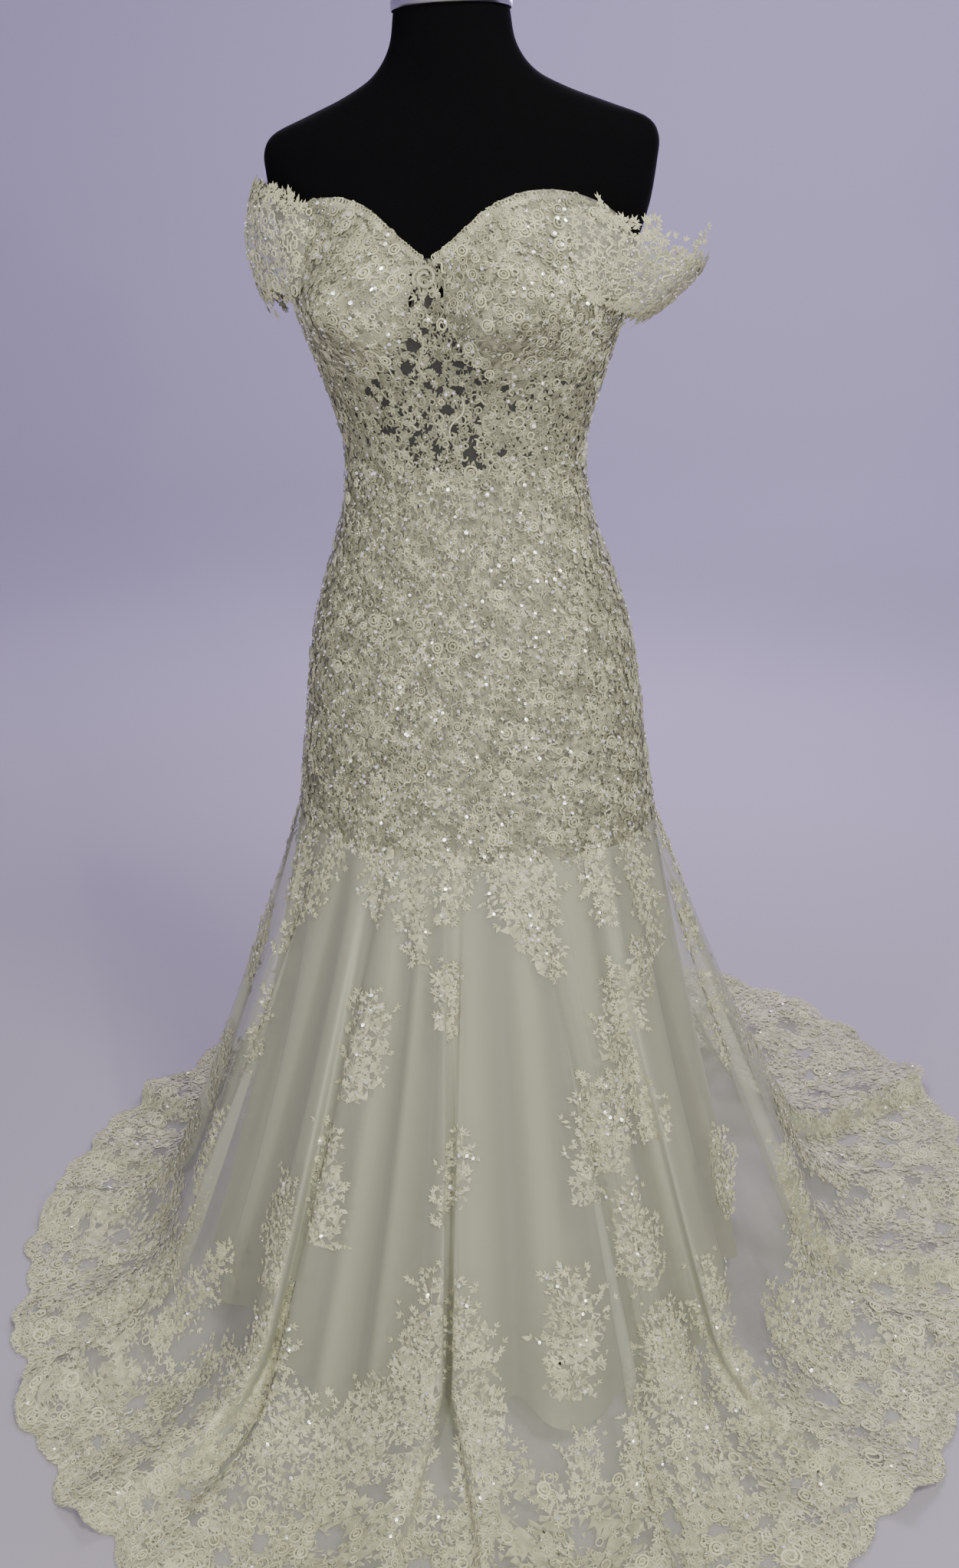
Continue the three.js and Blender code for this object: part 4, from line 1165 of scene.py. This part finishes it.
class GOWN_OT_bodice(bpy.types.Operator):
    """Make the cups, the sheer front, the back, the zip and their lace"""

    bl_idname = "gown.bodice"
    bl_label = "Bodice"

    def execute(self, context):
        for name, first, last, top, low, (width, length, area) in BODICE_PANELS:
            sheer = name == "midriff_net"
            angles = np.linspace(first, last, 64)
            a, s = np.meshgrid(angles, np.linspace(0, 1, 34), indexing="ij")
            z = top(a) + (low(a) - top(a)) * s
            points = polar(a, body_radius(a, z) + (SHEER_LIFT if sheer else BODICE_LIFT), z)
            cloth = material("illusion" if sheer else "lining")
            # Painted shade: a shade of 0 gives the lining under the bodice lace its shadow colour all over
            obj = build_sheet(f"bodice_{name}", points, cloth, 0, 0 * z)
            keep(obj, "illusion" if sheer else "lace", name)
        self.zip()
        self.lace()
        return {"FINISHED"}

    def zip(self):
        """The zip's tape with a row of teeth along its middle."""
        across = np.linspace(180 - ZIP_HALF_TURN, 180 + ZIP_HALF_TURN, 7)
        a, z = np.meshgrid(across, np.linspace(ZIP_TOP_Z, ZIP_END_Z, 130), indexing="ij")
        teeth = TOOTH_HEIGHT * np.abs(np.sin(np.pi * z / TOOTH_PITCH)) * (np.abs(a - 180) < 0.5)
        points = polar(a, body_radius(a, z) + ZIP_LIFT + teeth, z)
        tape = build_sheet("back_zip_tape", points, material("lining"), ZIP_WALL, 0 * z + 1)
        keep(tape, "lining", "back_zip")

    def lace(self):
        """The close lace on the cups and the back, and the open lace on the sheer front."""
        rng = np.random.default_rng(11)
        spacing = bpy.context.scene.gown_look.motif_spacing / MM * 0.9
        low = DATUM_Z - WAIST_Z - 1
        u, v = scatter(rng, -180, 180, 2, low - 1, spacing)
        z = DATUM_Z - v
        inside = (z < bodice_top(u) - 4) & ~near_zip(u, v, BODICE_ZIP_CLEAR)
        sheer = ((z < cup_low(u) - 3) | (np.abs(u) < CUP_INNER + 2)) & (np.abs(u) < SIDE_SEAM)
        close, open_work = Stamped((0.42, 1.0), 0.9), Stamped((0.12, 0.7), 0.7)

        def covered(u, v):
            z = DATUM_Z - v
            sheer = ((z < cup_low(u)) | (np.abs(u) < CUP_INNER)) & (np.abs(u) < SIDE_SEAM)
            clear = ~sheer & ~near_zip(u, v, BODICE_ZIP_CLEAR)
            return (z < bodice_top(u) - 3) & clear & (rng.random(u.shape) > 0.13)

        def veiled(u, v):
            z = DATUM_Z - v
            sheer = (z < cup_low(u) + 2) | (np.abs(u) < CUP_INNER + 0.5)
            worn = rng.random(u.shape) > np.where(np.abs(u + 4) < 34, 0.36, 0.17)
            return sheer & (z < bodice_top(u) - 4) & worn & self.closed(u, z)

        close.ground(gown, ((-180, 4), (180, low)), (270, 66), covered, (0.0, 0.5), -1.0)
        open_work.ground(gown, ((-SIDE_SEAM, 60), (SIDE_SEAM, low)), (112, 58), veiled, (0.0, 0.3), -1.1)
        m = inside & ~sheer
        lay_mixed(close, rng, gown, u[m], v[m], CUP_LACE, -0.9, (0.7, 1.0), 2.2)
        sew(rng, "bodice", u[m], v[m], 0.4)
        u, v = scatter(rng, -SIDE_SEAM, SIDE_SEAM, 60, low, 1.12 * spacing)
        z = DATUM_Z - v
        sheer = (z < cup_low(u) + 5) | (np.abs(u) < CUP_INNER + 3)
        m = sheer & (z < bodice_top(u) - 4) & self.closed(u, z)
        lay_mixed(open_work, rng, gown, u[m], v[m], OPEN_LACE, -1.0, (0.8, 1.2), 1.8)
        sew(rng, "bodice", u[m], v[m], 0.14)
        for motif, angle, z0, size, turn in MIDRIFF_CORDS:
            close.lay(gown, motif, angle, DATUM_Z - z0, turn, size, 0.8)
        self.edge(close, rng)
        keep(close.build("bodice_lace", material("lace")), "lace")
        keep(open_work.build("midriff_lace_work", material("lace")), "lace", "midriff_lace")

    def closed(self, u, z):
        """Whether each place on the sheer front is clear of the lace's open spots."""
        rng = np.random.default_rng(12)
        count = 34
        angle = np.clip(rng.normal(0, 24, count), -62, 62)
        height = np.minimum(rng.uniform(WAIST_Z + 14, 1160, count), cup_low(angle) - 8)
        small = np.stack([angle, height, rng.uniform(2.4, 4.6, count)], -1)
        far = True
        for angle, height, radius in [*OPEN_SPOTS, *small]:
            far = far & (np.hypot((u - angle) * 1.75, z - height) > radius)
        return far

    def edge(self, stamp, rng):
        """A close row of picots along the neckline and the back's upper edge."""
        u = np.concatenate([np.arange(-64, 64, 1.5), np.arange(87, 273, 2.0)])
        u = u[(np.abs(u) > 2.5)]
        v = DATUM_Z - bodice_top(u) + 3 + rng.uniform(-0.6, 0.6, len(u))
        stamp.lay(gown, SMALL_RING, u, v, 0, rng.uniform(0.7, 0.95, len(u)), -0.4)
        stamp.lay(gown, TINY_FLORET, u + 0.7, v + 4, u, rng.uniform(0.9, 1.2, len(u)), 0)
        some = rng.random(len(u)) < 0.4
        turn = rng.uniform(-1.2, 1.2, some.sum())
        stamp.lay(gown, LEAF, u[some], v[some] + 3, turn, rng.uniform(0.5, 0.75, some.sum()), -0.2)


# Tufts that stand out from the sleeve bands: place along, place down, length, width, turn, hanging
SLEEVE_TUFTS = {
    "left": [
        (0.40, 0.12, 36, 12, 0.1, False), (0.22, 0.08, 28, 12, 0.1, False), (0.46, 0.93, 20, 12, 0.2, True),
    ],
    "right": [
        (0.40, 0.08, 26, 16, 0.3, False), (0.5, 0.1, 24, 14, -0.2, False), (0.3, 0.95, 34, 14, 0.1, True),
        (0.45, 0.95, 30, 16, -0.3, True), (0.58, 0.92, 26, 14, 0.2, True),
    ],
}


class GOWN_OT_sleeves(bpy.types.Operator):
    """Make the off-shoulder lace bands with their feathery edges"""

    bl_idname = "gown.sleeves"
    bl_label = "Sleeves"

    def execute(self, context):
        for seed, (name, side, *cut) in enumerate(SLEEVES):
            rng = np.random.default_rng(31 + seed)
            surface = sleeve_surface(side, *cut)
            flip = slice(None, None, side)
            s, h = np.meshgrid(np.linspace(0, 1, 70)[flip], np.linspace(0.05, 0.95, 16), indexing="ij")
            hides = 0 * s + context.scene.gown_look.net_opacity
            ground = build_sheet(f"sleeve_ground_{name}", surface(s, h, 0.2), material("net"), 0, hides)
            keep(ground, "net")
            stamp = Stamped()
            steps = (0.02, 0.02)
            i, j = np.meshgrid(np.arange(42), np.arange(11), indexing="ij")
            u = ((i + 0.5 * (j % 2) + 0.25) / 42).ravel() + rng.uniform(-0.009, 0.009, i.size)
            v = ((j + 0.5) / 11).ravel() + rng.uniform(-0.04, 0.04, i.size)
            lay_mixed(stamp, rng, surface, u, v, OPEN_LACE, -0.6, (0.75, 1.15), 1.6, steps)
            for edge, hanging in ((0.08, False), (0.92, True)):
                for at in np.arange(0.06, 0.96, 0.055):
                    at += rng.uniform(-0.02, 0.02)
                    out = math.sin(math.pi * at) ** 2
                    length = rng.uniform(9, 13) + out * (rng.uniform(2, 14) if name == "right" else -5)
                    turn = rng.uniform(-0.6, 0.6)
                    lay_spray(stamp, rng, surface, at, edge, length, 15, turn, hanging, steps, 0.2)
            for at, edge, length, width, turn, hanging in SLEEVE_TUFTS[name]:
                lay_spray(stamp, rng, surface, at, edge, length, width, turn, hanging, steps, 0.2)
            lace = keep(stamp.build(f"sleeve_lace_{name}", material("lace")), "lace", f"sleeve_{name}")
            beads = Stamped()
            u, v = rng.uniform(0.02, 0.98, 90), rng.uniform(0.1, 0.9, 90)
            radius = context.scene.gown_look.bead_radius / MM
            beads.lay(surface, BEAD, u, v, 0, radius * rng.uniform(0.8, 1.2, 90), 2.2, steps)
            keep(beads.build(f"sleeve_beads_{name}", material("bead")), "lace")
        return {"FINISHED"}


class GOWN_OT_overskirt(bpy.types.Operator):
    """Make the fluted net gores from the thigh seam to the scalloped hem"""

    bl_idname = "gown.overskirt"
    bl_label = "Overskirt"

    def execute(self, context):
        flare, landing, floor = np.linspace(0, 1, 27), np.linspace(1, 2, 19), np.linspace(2, 3, 13)
        place = np.concatenate([flare, landing[1:], floor[1:]])
        for name, first, last in GORES:
            angles = np.linspace(first + 0.03, last - 0.03, 170)
            a, p = np.meshgrid(angles, place, indexing="ij")
            points = skirt(a, p, 0.5)
            obj = build_sheet(f"overskirt_{name}", points, material("net"), 0, self.hides(a, points))
            keep(obj, "net", f"net_{name}")
        return {"FINISHED"}

    def hides(self, a, points):
        """How much the net hides at each place: more where it runs steeply along a fold's side."""
        along = np.gradient(points, axis=0)
        across = np.stack([np.cos(np.radians(a)), np.sin(np.radians(a)), 0 * a], -1)
        level = np.abs((along * across).sum(-1)) / np.linalg.norm(along, axis=-1)
        return 1 - (1 - bpy.context.scene.gown_look.net_opacity) ** (1 / np.maximum(level, 0.3))


def hip_edge(angle):
    """The way down the gown to the hip lace's ragged lower edge."""
    return SEAM_V + 9 * np.sin(angle * 0.55) + 6 * np.sin(angle * 1.3 + 1)


# Parts of the hip lace: name, first and last angle, and the seed of its chances
HIP_LACE_PARTS = [("back_right", -180, -90, 41), ("front", -90, 90, 42), ("back_left", 90, 180, 43)]


class GOWN_OT_hip_lace(bpy.types.Operator):
    """Make the close lace over the hips with the points that run down from it"""

    bl_idname = "gown.hip_lace"
    bl_label = "Hip lace"

    def execute(self, context):
        spacing = context.scene.gown_look.motif_spacing / MM
        for name, first, last, seed in HIP_LACE_PARTS:
            rng = np.random.default_rng(seed)
            stamp = Stamped((0.38, 1.0), 1.0)

            def kept(u, v):
                whole = (v < hip_edge(u) - 3) & (rng.random(u.shape) > 0.2)
                return whole & ~near_zip(u, v, HIP_ZIP_CLEAR)

            corners = (first, DATUM_Z - WAIST_Z - 6), (last, SEAM_V + 14)
            stamp.ground(gown, corners, (int((last - first) * 0.78), 100), kept, (0.0, 0.5), -1.0)
            u, v = scatter(rng, first, last, DATUM_Z - WAIST_Z - 9, SEAM_V + 16, spacing)
            worn = np.sin(u * 0.5 + v * 0.06) + np.sin(v * 0.11 - u * 0.35) + rng.normal(0, 0.7, len(u))
            m = (v < hip_edge(u)) & (worn > -1.75) & ~near_zip(u, v, HIP_ZIP_CLEAR)
            u, v = u[m], v[m]
            lay_mixed(stamp, rng, gown, u, v, CLOSE_LACE, -0.9, (0.65, 1.15), 2.8)
            sew(rng, "hips", u, v, 0.42)
            keep(stamp.build(f"hip_lace_work_{name}", material("lace")), "lace", f"hip_lace_{name}")
        return {"FINISHED"}


# Degrees to each number in the names of the CAD's lace points and sprigs
NODE_TURN = 3.75


def in_gore(rows, first, last):
    """The rows of a table whose angle is in a gore."""
    return [row for row in rows if first <= row[0] < last or first <= row[0] + 360 < last]


def lace_nodes(first, last):
    """The CAD's lace points and sprigs in a gore, by the number in their names."""
    low, high = round((first + 180) / NODE_TURN), round((last + 180) / NODE_TURN)
    names = [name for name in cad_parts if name.startswith(("lace_point_", "lace_sprig_"))]
    return [name for name in names if low < int(name.split("_")[2]) < high]


class GOWN_OT_sprigs(bpy.types.Operator):
    """Make the lace points and sprigs on the net"""

    bl_idname = "gown.sprigs"
    bl_label = "Points and sprigs"

    def execute(self, context):
        for k, (name, first, last) in enumerate(GORES):
            rng = np.random.default_rng(61 + k)
            stamp = Stamped()
            for angle, length, width, tilt in in_gore(LACE_POINTS, first, last):
                turn = math.radians(tilt)
                spots = lay_spray(stamp, rng, gown, angle, SEAM_V - 8, length, width, turn, hanging=True)
                sew(rng, "skirt", *spots, 0.2)
            for angle, place, length, width, tilt in in_gore(SPRIGS, first, last):
                foot = place_v(place) + 0.5 * length
                spots = lay_spray(stamp, rng, gown, angle, foot, length, width, -math.radians(tilt))
                sew(rng, "skirt", *spots, 0.18)
            keep(stamp.build(f"sprigs_{name}", material("lace")), "lace", *lace_nodes(first, last))
        return {"FINISHED"}


# The border: where its edge lies and its ground begins on the overskirt, its motifs' spacing, and the
# close band by the hem
BORDER_PLACE = 1.5
BORDER_START = 1.1
BORDER_SPACING = 9.6
HEM_BAND = 50.0


def border_top(angle):
    """The way down the gown to the border's ragged upper edge."""
    wave = 24 * np.cos(np.radians(16 * angle)) + 12 * np.sin(angle * 0.9) + 8 * np.sin(angle * 2.3)
    return place_v(BORDER_PLACE) - wave


def border_open(rng, u, v, spread, depth):
    """Where the border's lace is open, which it never is in the band by the hem."""
    waves = np.sin(u * 1.1 + v * 0.045) + np.sin(v * 0.09 - u * 0.6) + rng.normal(0, spread, u.shape)
    return (waves <= depth) & (v <= HEM_V - HEM_BAND)


class GOWN_OT_border(bpy.types.Operator):
    """Make the wide lace border with its ragged top and scalloped, looped hem"""

    bl_idname = "gown.border"
    bl_label = "Lace border"

    def execute(self, context):
        for k, (name, first, last) in enumerate(GORES):
            rng = np.random.default_rng(81 + k)
            stamp = Stamped()

            def kept(u, v):
                hole = border_open(rng, u, v, 0.5, -1.1)
                fringe = (v - border_top(u) - 12) / 60
                return (rng.random(u.shape) < np.clip(fringe, 0, 0.86)) & ~hole

            corners = (first, place_v(BORDER_START)), (last, HEM_V - 3)
            stamp.ground(gown, corners, (226, 62), kept, (0.22, 0.66), 0.9)
            u, v = scatter(rng, first, last, place_v(BORDER_START), HEM_V - 8, BORDER_SPACING)
            m = (v > border_top(u)) & ~border_open(rng, u, v, 0.45, -1.0)
            u, v = u[m], v[m]
            lay_mixed(stamp, rng, gown, u, v, BORDER_LACE, 0.9, (0.75, 1.2), 1.8)
            sew(rng, "border", u, v, 0.13)
            at = first + rng.uniform(1, 4)
            while at < last - 1:
                length, width = rng.uniform(80, 190), rng.uniform(46, 78)
                foot = float(border_top(at)) + 34
                spots = lay_spray(stamp, rng, gown, at, foot, length, width, rng.uniform(-0.35, 0.35))
                sew(rng, "border", *spots, 0.12)
                at += rng.uniform(4.5, 8.5)
            for at in np.arange(first + 5.6, last, 2 * SCALLOP_TURN):
                v0 = HEM_V - 70 + rng.uniform(-22, 22)
                lay_medallion(stamp, rng, at + rng.uniform(-1.5, 1.5), v0, rng.uniform(25, 33))
                u = at + rng.uniform(-5, 5, 4)
                v = HEM_V - rng.uniform(20, 150, 4)
                stamp.lay(gown, SNAIL, u, v, rng.uniform(0, 6, 4), rng.uniform(0.9, 1.25, 4), 1.6)
                stamp.lay(gown, LONG_CORD, u[:2] + 2, v[:2], rng.uniform(-1, 1, 2), 0.85, 1.4)
            edge = np.arange(first + 0.4, last - 0.2, 0.95)
            turn = math.pi + rng.uniform(-0.25, 0.25, len(edge))
            stamp.lay(gown, LOOP, edge, HEM_V - 6, turn, 0.72, 0.9)
            stamp.lay(gown, SMALL_RING, edge + 0.4, HEM_V - 14, 0, rng.uniform(0.9, 1.2, len(edge)), 1.0)
            keep(stamp.build(f"border_lace_{name}", material("lace")), "lace", f"border_{name}")
        return {"FINISHED"}


class GOWN_OT_beads(bpy.types.Operator):
    """Sew the beads and sequins on to the lace"""

    bl_idname = "gown.beads"
    bl_label = "Beads and sequins"

    def execute(self, context):
        radius = context.scene.gown_look.bead_radius / MM
        rng = np.random.default_rng(101)
        for name, spots in BEAD_SPOTS.items():
            spots = np.concatenate(spots)
            u, v = spots[:, 0], spots[:, 1]
            bright = rng.random(len(u)) < 0.5
            beads, sequins = Stamped(), Stamped()
            lift = 2.6 if name in ("skirt", "border") else 1.6
            b = ~bright
            beads.lay(gown, BEAD, u[b], v[b], 0, radius * rng.uniform(0.7, 1.25, b.sum()), lift)
            tilt = rng.uniform(-0.55, 0.55, (bright.sum(), 2))
            sequins.lay(
                gown, SEQUIN, u[bright], v[bright], rng.uniform(0, 1, bright.sum()),
                rng.uniform(1.5, 2.2, bright.sum()), lift + 0.8, tilt=tilt,
            )
            keep(beads.build(f"beads_{name}", material("bead")), "lace")
            keep(sequins.build(f"sequins_{name}", material("sequin")), "lace")
        return {"FINISHED"}


# Stage

CAMERA_DISTANCE = 1.55
CAMERA_HEIGHT = 1.274
CAMERA_TURN = math.radians(17.0)
CAMERA_PITCH = math.radians(21.8)
CAMERA_YAW = math.radians(0.246)
CAMERA_ROLL = math.radians(1.6)
CAMERA_LENS = 31.5
SKY_COLOUR = (0.93, 0.91, 1.0)
SKY_STRENGTH = 0.14
FLOOR_COLOUR = (0.36, 0.335, 0.36)
BACKDROP_COLOUR = (0.82, 0.76, 0.97)

# The floor's sweep up into the backdrop: radius and height in metres
FLOOR_SWEEP = [
    (0.0, 0.0), (0.9, 0.0), (2.0, 0.0), (3.2, 0.0), (4.3, 0.0), (5.0, 0.05), (5.7, 0.24),
    (6.4, 0.66), (7.0, 1.35), (7.4, 2.3), (7.6, 3.5),
    (7.7, 5.0), (7.7, 9.0),
]

# Lights: name, place, aim, size, power, colour
LIGHTS = [
    ("key", (1.5, -1.2, 3.2), (0, 0, 0.75), 0.7, 66, (1.0, 0.985, 0.93)),
    ("fill", (-2.6, -1.6, 1.9), (0, 0, 0.7), 1.6, 7, (0.90, 0.88, 1.0)),
    ("back", (-1.0, 2.5, 2.8), (0, 0.3, 0.4), 1.2, 56, (0.78, 0.70, 1.0)),
    ("train", (0.2, 1.9, 1.7), (0.1, 0.5, 0.0), 0.9, 30, (0.68, 0.58, 1.0)),
    ("wash", (0.0, 3.6, 4.0), (0.0, 7.6, 1.6), 1.5, 54, (0.86, 0.80, 1.0)),
    ("glint", (0.7, -2.2, 2.1), (0, 0, 0.9), 0.09, 26, (1.0, 1.0, 1.0)),
    ("glint_low", (-0.5, -2.6, 1.2), (0, 0, 0.5), 0.09, 20, (1.0, 1.0, 1.0)),
    ("glint_side", (1.6, -2.0, 1.5), (0, 0, 0.6), 0.09, 20, (1.0, 1.0, 1.0)),
]


class GOWN_OT_stage(bpy.types.Operator):
    """Set out the plain floor, the soft lights and the camera"""

    bl_idname = "gown.stage"
    bl_label = "Stage"

    def execute(self, context):
        scene = context.scene
        sweep = np.array(FLOOR_SWEEP)
        a, k = np.meshgrid(np.linspace(0, 2 * math.pi, 97), np.arange(len(sweep)), indexing="ij")
        r, z = sweep[k, 0], sweep[k, 1] - 0.0005
        points = np.stack([r * np.cos(a), r * np.sin(a), z], -1)
        paint = cloth_material("floor_paint", BACKDROP_COLOUR, 0.75, shadow=FLOOR_COLOUR, shine=0.2)
        floor = build_sheet("floor", points, paint, 0, smooth(r, 0.9, 5.5))
        world = bpy.data.worlds.new("studio")
        world.use_nodes = True
        sky = world.node_tree.nodes["Background"]
        sky.inputs["Color"].default_value = colour(SKY_COLOUR)
        sky.inputs["Strength"].default_value = SKY_STRENGTH
        scene.world = world
        for name, place, aim, size, power, tint in LIGHTS:
            lamp = bpy.data.lights.new(name, "AREA")
            lamp.size = size
            lamp.energy = power
            lamp.color = tint
            obj = bpy.data.objects.new(name, lamp)
            obj.location = place
            obj.rotation_euler = (Vector(aim) - Vector(place)).to_track_quat("-Z", "Y").to_euler()
            scene.collection.objects.link(obj)
        self.camera(scene)
        return {"FINISHED"}

    def camera(self, scene):
        away = Vector((math.sin(CAMERA_TURN), -math.cos(CAMERA_TURN), 0))
        ahead = -away
        right = Vector((math.cos(CAMERA_TURN), math.sin(CAMERA_TURN), 0))
        level = ahead * math.cos(CAMERA_YAW) + right * math.sin(CAMERA_YAW)
        right = right * math.cos(CAMERA_YAW) - ahead * math.sin(CAMERA_YAW)
        look = level * math.cos(CAMERA_PITCH) - Vector((0, 0, math.sin(CAMERA_PITCH)))
        down = -Vector((0, 0, math.cos(CAMERA_PITCH))) - level * math.sin(CAMERA_PITCH)
        across = right * math.cos(CAMERA_ROLL) + down * math.sin(CAMERA_ROLL)
        below = down * math.cos(CAMERA_ROLL) - right * math.sin(CAMERA_ROLL)
        lens = bpy.data.cameras.new("camera")
        lens.lens = CAMERA_LENS
        lens.sensor_width = 36.0
        lens.clip_start = 0.01
        obj = bpy.data.objects.new("camera", lens)
        turn = Matrix((across, -below, -look)).transposed().to_4x4()
        obj.matrix_world = Matrix.Translation(away * CAMERA_DISTANCE + Vector((0, 0, CAMERA_HEIGHT))) @ turn
        scene.collection.objects.link(obj)
        scene.camera = obj


class GOWN_PT_panel(bpy.types.Panel):
    """The gown's steps and looks"""

    bl_idname = "GOWN_PT_panel"
    bl_label = "Wedding gown"
    bl_space_type = "VIEW_3D"
    bl_region_type = "UI"
    bl_category = "Gown"

    def draw(self, context):
        for name in GownLook.__annotations__:
            self.layout.prop(context.scene.gown_look, name)
        for step in STEPS:
            self.layout.operator(step.bl_idname)


STEPS = [
    GOWN_OT_stage,
    GOWN_OT_form,
    GOWN_OT_lining,
    GOWN_OT_bodice,
    GOWN_OT_sleeves,
    GOWN_OT_overskirt,
    GOWN_OT_hip_lace,
    GOWN_OT_sprigs,
    GOWN_OT_border,
    GOWN_OT_beads,
]
CLASSES = [GownLook, *STEPS, GOWN_PT_panel]


def register():
    for cls in CLASSES:
        bpy.utils.register_class(cls)
    bpy.types.Scene.gown_look = bpy.props.PointerProperty(type=GownLook)


def unregister():
    del bpy.types.Scene.gown_look
    for cls in reversed(CLASSES):
        bpy.utils.unregister_class(cls)


def main():
    register()
    for step in STEPS:
        group, name = step.bl_idname.split(".")
        getattr(getattr(bpy.ops, group), name)()


if __name__ == "__main__":
    main()
